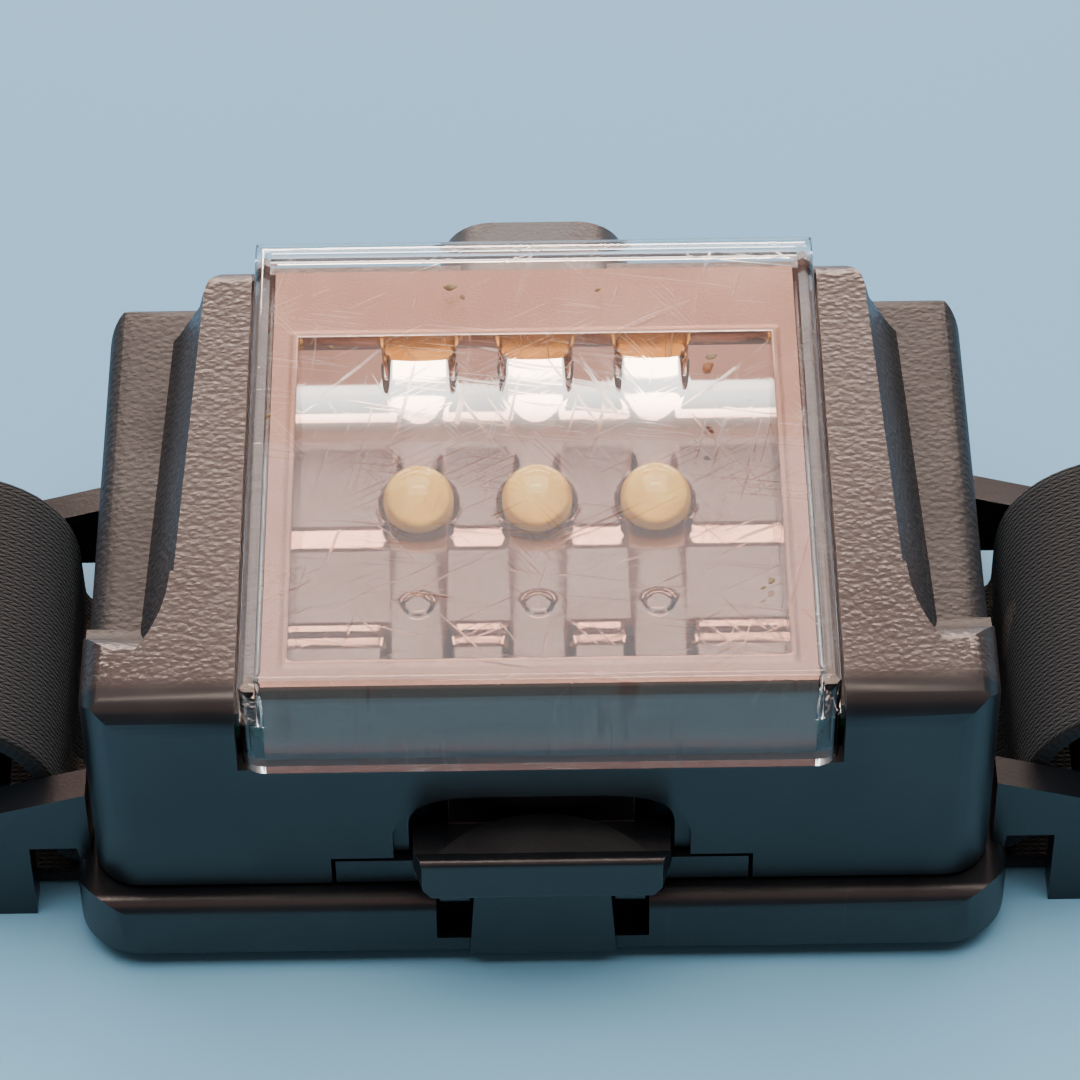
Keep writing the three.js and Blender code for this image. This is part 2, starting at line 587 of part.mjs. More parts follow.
function releaseTab() {
  const { halfX, bottom, top, back, lipOut } = TAB;
  const { lip: lipTop, shelf: shelfTop, moon: moonTop } = TAB_LEVELS;
  const shelfSide = new THREE.Shape();
  shelfSide.moveTo(back, bottom);
  shelfSide.lineTo(lipOut + 0.4, bottom);
  shelfSide.quadraticCurveTo(lipOut, bottom, lipOut, bottom + 0.4);
  shelfSide.lineTo(lipOut, lipTop - 0.6);
  shelfSide.quadraticCurveTo(lipOut, lipTop, lipOut + 0.6, lipTop);
  shelfSide.lineTo(lipOut + 1.4, lipTop - 0.4);
  shelfSide.lineTo(lipOut + 1.7, shelfTop);
  shelfSide.lineTo(back, shelfTop);
  const plan = polygon([
    [-halfX, back + 1],
    [-halfX, lipOut + 1.6],
    [-halfX + 1.1, lipOut - 1],
    [halfX - 1.1, lipOut - 1],
    [halfX, lipOut + 1.6],
    [halfX, back + 1],
  ]);
  const front = polygon([
    [-halfX + 1.4, bottom - 1],
    [halfX - 1.4, bottom - 1],
    [halfX - 1.4, bottom],
    [halfX, bottom + 2.0],
    [halfX, top],
    [-halfX, top],
    [-halfX, bottom + 2.0],
    [-halfX + 1.4, bottom],
  ]);
  const shelf = extrudeX(shelfSide, -halfX, halfX, 4)
    .intersect(extrudeZ(plan, bottom - 1, top))
    .intersect(extrudeY(front, lipOut - 1, back + 1));
  const { radius, back: moonBack, behindLip } = TAB_MOON;
  const behind = box(-halfX, halfX, lipOut + behindLip, 0, 0, top);
  const moon = rodZ(radius, 0, moonBack - radius, shelfTop - 0.5, moonTop, 56).intersect(behind);
  const springPlate = box(-6.5, 6.5, back - 0.4, back + 0.6, bottom, top);
  return union(shelf, moon, springPlate);
}

// ---------- lens ----------

function lens() {
  const { halfX, halfY, top, wall, nearBend, farBend, corner } = LENS;
  const side = (inset, low) => {
    const tighter = inset * 0.6;
    const [far, near] = [farBend - tighter, nearBend - tighter];
    return archedRect(-halfY + inset, halfY - inset, low, top - inset, far, near);
  };
  const outerPlan = roundedRect(-halfX, halfX, -halfY, halfY, corner);
  const front = archedRect(-halfX, halfX, LENS_SKIRT.near, top, 1.1);
  const outer = extrudeX(side(0, LENS_SKIRT.near), -halfX, halfX, 6)
    .intersect(extrudeZ(outerPlan, LENS_SKIRT.near, top, 4))
    .intersect(extrudeY(front, -halfY, halfY, 3));
  const innerPlan = roundedRect(-halfX + wall, halfX - wall, -halfY + wall, halfY - wall, 0.8);
  const innerSide = extrudeX(side(wall, 10), -halfX + wall, halfX - wall, 6);
  const inner = innerSide.intersect(extrudeZ(innerPlan, 10, top, 3));
  const behindNearWall = box(-30, 30, -halfY + wall, 30, 10, LENS_SKIRT.side);
  const aboveFarWall = box(-30, 30, HOUSING.halfY - HOUSING.wall - GAP, 30, 10, LENS_SKIRT.far);
  return cut(outer, inner, behindNearWall, aboveFarWall);
}

// ---------- reflector ----------

const LED_XS = [-LED.pitch, 0, LED.pitch];

// Height of the trough's wall above its floor at a given y.
function troughZ(y) {
  const middle = (WINDOW.nearY + WINDOW.farY) / 2;
  const half = (WINDOW.farY - WINDOW.nearY) / 2;
  return TROUGH.floor + (REFLECTOR.top - TROUGH.floor) * ((y - middle) / half) ** 2;
}

function leaning(geometry, x) {
  geometry.rotateX(Math.PI / 2);
  geometry.rotateX(LED.lean);
  geometry.translate(x, LED.baseY, LED.baseZ);
  return geometry;
}

function reflector() {
  const { halfX, nearY, farY, top, bottom } = REFLECTOR;
  const flangeLow = top - 1.4;
  const flange = box(-halfX, halfX, nearY, farY, flangeLow, top);
  const block = box(-halfX, halfX, nearY, TROUGH.blockEndY, bottom, flangeLow + 0.1);
  const nearFace = box(-halfX, halfX, nearY, nearY + 1.2, LENS_SKIRT.near + 0.1, bottom + 1);
  const outline = extrudeZ(roundedRect(-halfX, halfX, nearY, farY, 1.2), 15, top, 4).intersect(
    extrudeX(archedRect(nearY, farY, 15, top, 0.7), -halfX, halfX, 3),
  );
  const steps = 14;
  const trough = new THREE.Shape();
  trough.moveTo(WINDOW.nearY, top + 1);
  for (let i = 0; i <= steps; i++) {
    const y = WINDOW.nearY + ((WINDOW.farY - WINDOW.nearY) * i) / steps;
    trough.lineTo(y, troughZ(y));
  }
  trough.lineTo(WINDOW.farY, top + 1);
  const troughCut = extrudeX(trough, -WINDOW.halfX, WINDOW.halfX);
  const channelCuts = LED_XS.map((x) => {
    class Run extends THREE.Curve {
      getPoint(t, target = new THREE.Vector3()) {
        const y = WINDOW.nearY + 1 + (WINDOW.farY - WINDOW.nearY - 2) * t;
        return target.set(x, y, troughZ(y) + CHANNEL.lift);
      }
    }
    const section = new THREE.Shape();
    section.absarc(0, 0, CHANNEL.radius, 0, 2 * Math.PI);
    const run = new THREE.ExtrudeGeometry(section, { steps: 10, curveSegments: 6, extrudePath: new Run() });
    return solid(run).intersect(box(-30, 30, -30, 30, bottom + 0.3, 40));
  });
  const ledHoles = LED_XS.map((x) => {
    const hole = new THREE.CylinderGeometry(LED.radius + GAP, LED.radius + GAP, 14, 20);
    return solid(leaning(hole, x));
  });
  return cut(union(flange, block, nearFace).intersect(outline), troughCut, ...channelCuts, ...ledHoles);
}

// ---------- LEDs ----------

function ledBody(x) {
  const { radius, height } = LED;
  const { bore, room } = LED_CORE;
  const shoulder = height - radius;
  const dome = arc(0, shoulder, radius, 0, Math.PI / 2, 4);
  const profile = [
    [bore, 0],
    [radius, 0],
    ...dome.slice(0, -1),
    [0, height],
    [0, room],
    [bore, room],
    [bore, 0],
  ];
  return leaning(turned(profile, 16), x);
}

function ledCore(x) {
  const { cup } = LED_CORE;
  const profile = [
    [0, 0.2],
    [cup, 0.2],
    [cup, 3.0],
    [cup - 0.3, 3.0],
    [0.9, 2.5],
    [0, 2.5],
  ];
  return leaning(turned(profile, 12), x);
}

// ---------- circuit board, switch and button ----------

function circuitBoard() {
  const { halfX, halfY, bottom, top } = BOARD;
  const plate = extrudeZ(roundedRect(-halfX, halfX, -halfY, halfY, 1.0), bottom, top, 3);
  const ledWindow = box(-11.6, 11.6, -2.9, 3.6, bottom - 1, top + 1);
  const buttonRoom = box(-BUTTON.halfX - 1.6, BUTTON.halfX + 1.6, 17.7, halfY + 1, bottom - 1, top + 1);
  const holes = SCREW_PLACES.map(([x, y]) => rodZ(1.0, x, y, bottom - 1, top + 1, 12));
  return cut(plate, ledWindow, buttonRoom, ...holes);
}

function boardScrew(x, y) {
  const seat = BOARD.bottom - 0.1;
  const { shank, head } = BOARD_SCREW;
  const profile = [
    [0, seat - 1.0],
    [head - 0.4, seat - 1.0],
    [head, seat - 0.6],
    [head, seat],
    [shank, seat],
    [shank, 22.5],
    [0, 22.8],
  ];
  const body = solid(turned(profile, 16).rotateX(Math.PI / 2).translate(x, y, 0));
  const driverSlot = box(x - 0.25, x + 0.25, y - 3, y + 3, 0, seat - 0.6);
  return cut(body, driverSlot);
}

function contactBlade(side) {
  const outline = [
    [19.4, 19.5],
    [19.4, 19.2],
    [22.4, 19.2],
    [22.7, 16.9],
    [25.2, 15.6],
    [25.2, 15.9],
    [23.0, 17.1],
    [22.7, 19.5],
  ];
  const y = side * BLADE_Y;
  return extrudeY(polygon(side < 0 ? mirrored(outline) : outline), y - 0.6, y + 0.6);
}

function switchBody() {
  const shell = box(-3.1, 3.1, 13.8, 17.2, BOARD.top + 0.1, 25.0);
  return cut(shell, rodY(1.3, 0, 14.6, 18, BUTTON.z + STEM_LIFT, 16));
}

function switchPlunger() {
  return rodY(1.0, 0, 15.4, PLUNGER_END, BUTTON.z + STEM_LIFT, 16);
}

function powerButton() {
  const { halfX, halfZ, z, out } = BUTTON;
  const inner = HOUSING.halfY - HOUSING.wall;
  const capShape = roundedRect(-halfX, halfX, z - halfZ, z + halfZ, halfZ - 0.1);
  const shoulder = out - 1.5;
  const cap = extrudeY(capShape, inner - 0.6, shoulder, 4);
  const dome = Array.from({ length: DOME_STEPS }, (_, i) => {
    const angle = ((i + 1) / DOME_STEPS) * (Math.PI / 2);
    const inset = 1.3 * (1 - Math.cos(angle));
    const reach = shoulder + 1.5 * Math.sin(angle);
    const radius = halfZ - 0.1 - inset;
    const shape = roundedRect(-halfX + inset, halfX - inset, z - halfZ + inset, z + halfZ - inset, radius);
    return extrudeY(shape, shoulder - 0.5, reach, 4);
  });
  const flangeShape = roundedRect(-halfX - 1, halfX + 1, z - halfZ - 0.9, z + halfZ - 0.4, 2.5);
  const flange = extrudeY(flangeShape, inner - 1.5, inner - 2 * GAP, 5);
  const stem = rodY(1.6, 0, PLUNGER_END + GAP, inner - 0.8, z + STEM_LIFT, 16);
  return union(cap, ...dome, flange, stem);
}

function chipResistor(x) {
  const top = BOARD.top + 0.1;
  return box(x - 1.6, x + 1.6, 15.2, 16.8, top, top + 0.6);
}

// ---------- assembly ----------

place("bracket", bracket(), MATERIAL.satin);
place("headband", headband(), MATERIAL.webbing);
place("band_slider", bandSlider(), MATERIAL.satin);

place("rear_cover", rearCover(), MATERIAL.satin);
place("tilt_pin", rodX(PIN.radius, -7.4, 7.4, TILT_AXIS.y, TILT_AXIS.z, 16), MATERIAL.steel);
place("cover_hinge_pin", rodX(PIN.radius, -22.2, 22.2, COVER_AXIS.y, COVER_AXIS.z, 16), MATERIAL.steel);
place("tray_seal", sealRing(), MATERIAL.rubber);

const cellYs = [-CELL.pitch, 0, CELL.pitch];
cellYs.forEach((y, i) => {
  const direction = i % 2 === 0 ? 1 : -1;
  place(`cell_${i + 1}`, cell(y, direction), MATERIAL.cellWrap);
  place(`cell_spring_${i + 1}`, coilSpring(y, -direction), MATERIAL.steel);
});
place("contact_plate_minus", contactPlate(-1, [cellYs[0]]), MATERIAL.steel);
place("contact_plate_left_pair", contactPlate(-1, [cellYs[1], cellYs[2]]), MATERIAL.steel);
place("contact_plate_right_pair", contactPlate(1, [cellYs[0], cellYs[1]]), MATERIAL.steel);
place("contact_plate_plus", contactPlate(1, [cellYs[2]]), MATERIAL.steel);

place("front_housing", frontHousing(), MATERIAL.shell);
place("lens_cover", lens(), MATERIAL.clear);
place("reflector", reflector(), MATERIAL.chrome);
LED_XS.forEach((x, i) => {
  place(`led_${i + 1}`, ledBody(x), MATERIAL.epoxy);
  place(`led_core_${i + 1}`, ledCore(x), MATERIAL.phosphor);
});
place("circuit_board", circuitBoard(), MATERIAL.board);
for (const [name, side] of SIDES) place(`contact_blade_${name}`, contactBlade(side), MATERIAL.steel);
SCREW_PLACES.forEach(([x, y], i) => place(`board_screw_${i + 1}`, boardScrew(x, y), MATERIAL.steel));
[-14, -9, 9].forEach((x, i) => place(`resistor_${i + 1}`, chipResistor(x), MATERIAL.component));
place("switch_body", switchBody(), MATERIAL.component);
place("switch_plunger", switchPlunger(), MATERIAL.component);
place("power_button", powerButton(), MATERIAL.rubber);
place("release_tab", releaseTab(), MATERIAL.satin);

export default lamp;
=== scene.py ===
"""A three-lamp headlamp on a stretch headband: finishes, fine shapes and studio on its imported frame."""

import logging
import math
from dataclasses import dataclass, field
from enum import Enum
from typing import Sequence

import bmesh
import bpy
from mathutils import Matrix, Vector


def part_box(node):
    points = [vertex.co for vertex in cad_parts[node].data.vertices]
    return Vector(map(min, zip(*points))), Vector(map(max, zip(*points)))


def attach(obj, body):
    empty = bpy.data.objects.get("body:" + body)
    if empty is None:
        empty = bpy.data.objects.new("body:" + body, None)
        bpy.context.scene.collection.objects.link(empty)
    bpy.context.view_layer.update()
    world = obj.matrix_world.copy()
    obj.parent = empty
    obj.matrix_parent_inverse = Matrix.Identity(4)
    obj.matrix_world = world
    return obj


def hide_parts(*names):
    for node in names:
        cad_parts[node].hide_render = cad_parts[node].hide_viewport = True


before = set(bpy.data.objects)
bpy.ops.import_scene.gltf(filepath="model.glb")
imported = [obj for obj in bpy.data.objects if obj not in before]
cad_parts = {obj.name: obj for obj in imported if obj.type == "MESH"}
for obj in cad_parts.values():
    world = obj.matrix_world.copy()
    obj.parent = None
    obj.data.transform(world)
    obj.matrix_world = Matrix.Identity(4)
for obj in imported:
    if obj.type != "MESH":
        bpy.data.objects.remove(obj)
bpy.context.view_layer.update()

MM = 0.001
LOG = logging.getLogger("headlamp")

Colour = tuple[float, float, float]


class Slot(Enum):
    """The record's material slots."""

    HOUSING = "black_textured_plastic"
    SATIN = "black_satin_plastic"
    CLEAR = "clear_plastic"
    CHROME = "chrome_reflector"
    EPOXY = "led_epoxy"
    PHOSPHOR = "led_phosphor"
    BOARD = "board_green"
    STEEL = "bare_steel"
    JACKET = "cell_jacket"
    SEAL = "grey_rubber"
    BUTTON = "button_rubber"
    WEBBING = "webbing_camo"
    COMPONENT = "black_component"


class Body(Enum):
    """The bodies of the frame that pieces ride on."""

    BRACKET = "bracket"
    TRAY = "battery_tray"
    HEAD = "lamp_head"
    TAB = "release_tab"
    BUTTON = "power_button"
    SLIDER = "band_slider"


# ---------------------------------------------------------------- node building


class NodeSheet:
    """A node tree with short ways to add and join nodes."""

    def __init__(self, tree: bpy.types.NodeTree) -> None:
        """Keeps the tree that nodes are added to."""
        self.tree = tree

    def add(self, kind: str, inputs: dict | None = None, **settings: object) -> bpy.types.Node:
        """Adds one node.

        Args:
            kind: The node's type name.
            inputs: Values or sockets by input name or index.
            settings: Properties of the node.

        Returns:
            The new node.
        """
        node = self.tree.nodes.new(kind)
        for key, value in settings.items():
            setattr(node, key, value)
        for key, value in (inputs or {}).items():
            self.feed(node.inputs[key], value)
        return node

    def feed(self, socket: bpy.types.NodeSocket, value: object) -> None:
        """Joins a socket to another one, or sets its value."""
        if isinstance(value, bpy.types.NodeSocket):
            self.tree.links.new(value, socket)
        elif isinstance(value, tuple) and len(value) == 3 and socket.type == "RGBA":
            socket.default_value = (*value, 1.0)
        else:
            socket.default_value = value

    def maths(self, operation: str, *values: object, clamp: bool = False) -> bpy.types.NodeSocket:
        """Adds a Math node.

        Args:
            operation: The Math node's operation.
            values: Its inputs, as numbers or sockets.
            clamp: Whether the result stays within 0 and 1.

        Returns:
            The node's value socket.
        """
        node = self.add("ShaderNodeMath", operation=operation, use_clamp=clamp)
        for socket, value in zip(node.inputs, values):
            self.feed(socket, value)
        return node.outputs[0]

    def fade(
        self, value: object, low: float, high: float, to: tuple[float, float] = (0, 1)
    ) -> bpy.types.NodeSocket:
        """Maps a value smoothly from one range to another.

        Args:
            value: The socket to map.
            low: The value that becomes the first of to.
            high: The value that becomes the second of to.
            to: The range that comes out.

        Returns:
            The mapped socket.
        """
        inputs = {"Value": value, "From Min": low, "From Max": high, "To Min": to[0], "To Max": to[1]}
        node = self.add("ShaderNodeMapRange", inputs, interpolation_type="SMOOTHSTEP")
        return node.outputs["Result"]

    def noise(
        self, vector: object, scale: object, detail: float = 3, distortion: float = 0
    ) -> bpy.types.NodeSocket:
        """Adds a Noise Texture.

        Args:
            vector: Where the pattern is read.
            scale: Features per unit of the vector.
            detail: Octaves of finer noise.
            distortion: How far the pattern folds into itself.

        Returns:
            The noise value socket.
        """
        inputs = {"Vector": vector, "Scale": scale, "Detail": detail, "Distortion": distortion}
        return self.add("ShaderNodeTexNoise", inputs).outputs[0]

    def turned(
        self,
        vector: object,
        scale: Sequence[float] = (1, 1, 1),
        turn: Sequence[float] = (0, 0, 0),
        place: Sequence[float] = (0, 0, 0),
    ) -> bpy.types.NodeSocket:
        """Adds a Mapping node.

        Args:
            vector: The vector to map.
            scale: Scale along each axis.
            turn: Rotation about each axis, in radians.
            place: Shift along each axis.

        Returns:
            The mapped vector socket.
        """
        inputs = {"Vector": vector, "Scale": scale, "Rotation": turn, "Location": place}
        return self.add("ShaderNodeMapping", inputs).outputs[0]

    def blend(self, factor: object, first: object, second: object) -> bpy.types.NodeSocket:
        """Mixes two colours.

        Args:
            factor: 0 for the first colour, 1 for the second.
            first: A colour or a socket.
            second: A colour or a socket.

        Returns:
            The mixed colour socket.
        """
        node = self.add("ShaderNodeMix", data_type="RGBA")
        self.feed(node.inputs[0], factor)
        self.feed(node.inputs[6], first)
        self.feed(node.inputs[7], second)
        return node.outputs[2]

    def group(self, group: bpy.types.NodeTree, **values: object) -> bpy.types.Node:
        """Places a node group.

        Args:
            group: The group to place.
            values: Its inputs by socket name, with _ for a space.

        Returns:
            The group node.
        """
        node = self.add("ShaderNodeGroup", node_tree=group)
        for key, value in values.items():
            self.feed(node.inputs[key.replace("_", " ")], value)
        return node


class EffectGroups:
    """The shader effects that several finishes share, each built once as a node group."""

    def __init__(self) -> None:
        """Builds every group."""
        self.grain = self._grain()
        self.wear = self._wear()
        self.dust = self._dust()
        self.scratches = self._scratches()
        self.weave = self._weave()

    @staticmethod
    def _sheet(
        name: str, inputs: dict[str, object], outputs: Sequence[str]
    ) -> tuple[NodeSheet, object, object]:
        """Starts a group with its sockets.

        Args:
            name: The group's name.
            inputs: Default values by socket name, with None for a vector.
            outputs: Names of the value outputs.

        Returns:
            The sheet, the group's input node and its output node.
        """
        tree = bpy.data.node_groups.new(name, "ShaderNodeTree")
        for key, value in inputs.items():
            kind = "NodeSocketVector" if value is None else "NodeSocketFloat"
            socket = tree.interface.new_socket(name=key, in_out="INPUT", socket_type=kind)
            if value is not None:
                socket.default_value = value
        for key in outputs:
            tree.interface.new_socket(name=key, in_out="OUTPUT", socket_type="NodeSocketFloat")
        sheet = NodeSheet(tree)
        return sheet, sheet.add("NodeGroupInput"), sheet.add("NodeGroupOutput")

    def _grain(self) -> bpy.types.NodeTree:
        """Spark-eroded mould grain: rounded pebbles with fine wrinkles between them."""
        inputs = {"Vector": None, "Scale": 2500.0, "Wrinkle": 0.4}
        sheet, given, out = self._sheet("Mould grain", inputs, ["Height"])
        vector = given.outputs["Vector"]
        bent = sheet.add("ShaderNodeTexNoise", {"Vector": vector, "Scale": given.outputs["Scale"]})
        push = {0: bent.outputs["Color"], 1: (0.3 * MM,) * 3}
        place = sheet.add("ShaderNodeVectorMath", push, operation="MULTIPLY")
        moved = sheet.add("ShaderNodeVectorMath", {0: vector, 1: place.outputs[0]}, operation="ADD")
        cells = sheet.add(
            "ShaderNodeTexVoronoi",
            {"Vector": moved.outputs[0], "Scale": given.outputs["Scale"], "Smoothness": 0.6},
            feature="SMOOTH_F1",
        )
        fine = sheet.noise(moved.outputs[0], sheet.maths("MULTIPLY", given.outputs["Scale"], 1.7), 4, 0.6)
        wrinkle = sheet.maths("MULTIPLY", fine, given.outputs["Wrinkle"])
        pebble = sheet.maths("SUBTRACT", 1.0, cells.outputs["Distance"])
        sheet.feed(out.inputs["Height"], sheet.maths("ADD", pebble, wrinkle))
        return sheet.tree

    def _wear(self) -> bpy.types.NodeTree:
        """Rubbed edges: a broken mask along the piece's rounded edges."""
        sheet, given, out = self._sheet("Edge wear", {"Vector": None, "Edge": 0.0, "Amount": 0.5}, ["Mask"])
        patches = sheet.fade(sheet.noise(given.outputs["Vector"], 420, 3), 0.42, 0.62)
        rubbed = sheet.maths("MULTIPLY", patches, given.outputs["Edge"])
        sheet.feed(out.inputs["Mask"], sheet.maths("MULTIPLY", rubbed, given.outputs["Amount"], clamp=True))
        return sheet.tree

    def _dust(self) -> bpy.types.NodeTree:
        """Settled dust: a mottled film with a few brighter specks."""
        sheet, given, out = self._sheet("Dust", {"Vector": None, "Amount": 0.2}, ["Mask"])
        film = sheet.fade(sheet.noise(given.outputs["Vector"], 140, 5), 0.4, 0.75)
        cells = sheet.add("ShaderNodeTexVoronoi", {"Vector": given.outputs["Vector"], "Scale": 900.0})
        specks = sheet.fade(cells.outputs["Distance"], 0.12, 0.05)
        patches = sheet.fade(sheet.noise(given.outputs["Vector"], 210, 1), 0.5, 0.6)
        thin = sheet.maths("MULTIPLY", specks, patches)
        both = sheet.maths("MAXIMUM", sheet.maths("MULTIPLY", film, 0.5), thin)
        sheet.feed(out.inputs["Mask"], sheet.maths("MULTIPLY", both, given.outputs["Amount"], clamp=True))
        return sheet.tree

    def _scratches(self) -> bpy.types.NodeTree:
        """Hairline scratches: four directions of long thin streaks, broken into short runs."""
        inputs = {"Vector": None, "Amount": 0.5, "Density": 0.5}
        sheet, given, out = self._sheet("Scratches", inputs, ["Mask"])
        total = 0.0
        for turn, reach in ((0.15, 60.0), (0.95, 85.0), (1.8, 70.0), (2.6, 95.0)):
            aligned = sheet.turned(given.outputs["Vector"], turn=(0, 0, turn))
            lines = sheet.turned(aligned, (reach, 3200.0, reach), place=(turn, 3.0 * turn, 0))
            bent = sheet.noise(lines, 1.0, 0, 0.25)
            run = sheet.fade(sheet.noise(given.outputs["Vector"], 130 + 40 * turn, 1), 0.46, 0.6)
            low = sheet.maths("SUBTRACT", 0.86, sheet.maths("MULTIPLY", given.outputs["Density"], 0.16))
            line = sheet.maths("MULTIPLY", sheet.maths("SUBTRACT", bent, low), 14.0, clamp=True)
            total = sheet.maths("MAXIMUM", total, sheet.maths("MULTIPLY", line, run))
        sheet.feed(out.inputs["Mask"], sheet.maths("MULTIPLY", total, given.outputs["Amount"], clamp=True))
        return sheet.tree

    def _weave(self) -> bpy.types.NodeTree:
        """Knitted webbing: rows across the band, each broken into slanting stitches."""
        sheet, given, out = self._sheet("Webbing weave", {"Vector": None, "Pitch": 0.4}, ["Height", "Stitch"])
        axes = sheet.add("ShaderNodeSeparateXYZ", {0: given.outputs["Vector"]})
        rows = sheet.maths("DIVIDE", axes.outputs[1], given.outputs["Pitch"])
        parity = sheet.maths("PINGPONG", sheet.maths("FLOOR", rows), 1.0)
        slant = sheet.maths("SUBTRACT", sheet.maths("MULTIPLY", parity, 2.0), 1.0)
        within = sheet.maths("SUBTRACT", sheet.maths("FRACT", rows), 0.5)
        along = sheet.maths("DIVIDE", axes.outputs[0], sheet.maths("MULTIPLY", given.outputs["Pitch"], 1.5))
        phase = sheet.maths("ADD", along, sheet.maths("MULTIPLY", within, slant))
        stitch = sheet.maths("ABSOLUTE", sheet.maths("SINE", sheet.maths("MULTIPLY", phase, math.pi)))
        ridge = sheet.maths("COSINE", sheet.maths("MULTIPLY", within, math.pi))
        fuzz = sheet.noise(given.outputs["Vector"], 6.0, 4)
        body = sheet.maths("MULTIPLY", sheet.maths("POWER", ridge, 0.6), sheet.maths("POWER", stitch, 0.4))
        sheet.feed(out.inputs["Height"], sheet.maths("ADD", body, sheet.maths("MULTIPLY", fuzz, 0.5)))
        sheet.feed(out.inputs["Stitch"], body)
        return sheet.tree


# ---------------------------------------------------------------- finishes


@dataclass(frozen=True)
class Finish:
    """What every finish has: a name, and the shared effects that it uses."""

    name: str
    effects: EffectGroups = field(repr=False)

    def start(self) -> tuple[bpy.types.Material, NodeSheet, bpy.types.Node, bpy.types.NodeSocket]:
        """Starts the material.

        Returns:
            The material, its node sheet, its Principled BSDF and the object coordinates.
        """
        material = bpy.data.materials.new(self.name)
        material.use_nodes = True
        sheet = NodeSheet(material.node_tree)
        shader = material.node_tree.nodes["Principled BSDF"]
        return material, sheet, shader, sheet.add("ShaderNodeTexCoord").outputs["Object"]

    def bump(
        self, sheet: NodeSheet, height: object, depth: float, under: object = None
    ) -> bpy.types.NodeSocket:
        """Adds a Bump node.

        Args:
            sheet: The material's node sheet.
            height: The height socket.
            depth: Height of the relief, in metres.
            under: A normal to build on.

        Returns:
            The bumped normal socket.
        """
        node = sheet.add("ShaderNodeBump", {"Height": height, "Distance": depth, "Strength": 1.0})
        if under is not None:
            sheet.feed(node.inputs["Normal"], under)
        return node.outputs[0]


@dataclass(frozen=True)
class MouldedPlastic(Finish):
    """Injection-moulded ABS, grained or satin, with rubbed edges and a little dust; the grained areas can
    take a painted warm sheen colour, and surfaces below a given height painted shade.
    """

    colour: Colour = (0.006, 0.006, 0.007)
    # The grained areas' colour is a painted warm sheen, the light's reflection off the grain, not the
    # plastic's own black.
    grained_sheen_colour: Colour = (0.006, 0.006, 0.007)
    rubbed: Colour = (0.05, 0.04, 0.036)
    dusty: Colour = (0.12, 0.1, 0.09)
    roughness: float = 0.4
    grain_size: float = 0.42 * MM
    grain_depth: float = 0.05 * MM
    smooth_rim: float | None = None
    # Below this height the colour turns back to black as painted shade in the recesses, and the roughness
    # rises.
    shade_and_dull_below: float | None = None
    dust: float = 0.12
    wear: float = 0.5
    stretch: float = 1.0

    def build(self) -> bpy.types.Material:
        """Builds the material."""
        material, sheet, shader, place = self.start()
        long = sheet.turned(place, (1 / self.stretch, 1, 1))
        grain = sheet.group(self.effects.grain, Vector=long, Scale=1 / self.grain_size)
        height = grain.outputs["Height"]
        axes = sheet.add("ShaderNodeSeparateXYZ", {0: place})
        grained: object = 1.0
        if self.smooth_rim is not None:
            grained = sheet.fade(axes.outputs["Y"], self.smooth_rim, self.smooth_rim + 1.2 * MM)
            height = sheet.maths("MULTIPLY", height, grained)
        # Painted shade: surfaces lower than the given height lose the grained sheen colour and go black; they
        # also get rougher.
        dull: object = 0.0
        if self.shade_and_dull_below is not None:
            dull = sheet.fade(axes.outputs["Z"], self.shade_and_dull_below, self.shade_and_dull_below - 2.0 * MM)
        edge = sheet.add("ShaderNodeAttribute", attribute_name="edge").outputs["Fac"]
        wear = sheet.group(self.effects.wear, Vector=place, Edge=edge, Amount=self.wear).outputs["Mask"]
        dust = sheet.group(self.effects.dust, Vector=place, Amount=self.dust).outputs["Mask"]
        hairs = sheet.group(self.effects.scratches, Vector=place, Amount=0.5, Density=0.25).outputs["Mask"]
        # Painted sheen: grained areas take the warm sheen colour, while the smooth near rim stays black.
        colour = sheet.blend(grained, self.colour, self.grained_sheen_colour)
        colour = sheet.blend(dull, colour, self.colour)
        colour = sheet.blend(wear, colour, self.rubbed)
        colour = sheet.blend(dust, colour, self.dusty)
        marked = sheet.blend(sheet.maths("MULTIPLY", hairs, 0.5), colour, self.rubbed)
        sheet.feed(shader.inputs["Base Color"], marked)
        spread = (self.roughness - 0.05, self.roughness + 0.06)
        cloudy = sheet.fade(sheet.noise(place, 90, 4), 0.3, 0.7, spread)
        rough = sheet.maths("ADD", cloudy, sheet.maths("MULTIPLY", dust, 0.3))
        dulled = sheet.maths("MULTIPLY", dull, grained)
        rough = sheet.maths("ADD", rough, sheet.maths("MULTIPLY", dulled, 0.25))
        rough = sheet.maths("SUBTRACT", rough, sheet.maths("MULTIPLY", wear, 0.12))
        sheet.feed(shader.inputs["Roughness"], rough)
        sheet.feed(shader.inputs["Normal"], self.bump(sheet, height, self.grain_depth))
        shader.inputs["Specular IOR Level"].default_value = 0.6
        return material


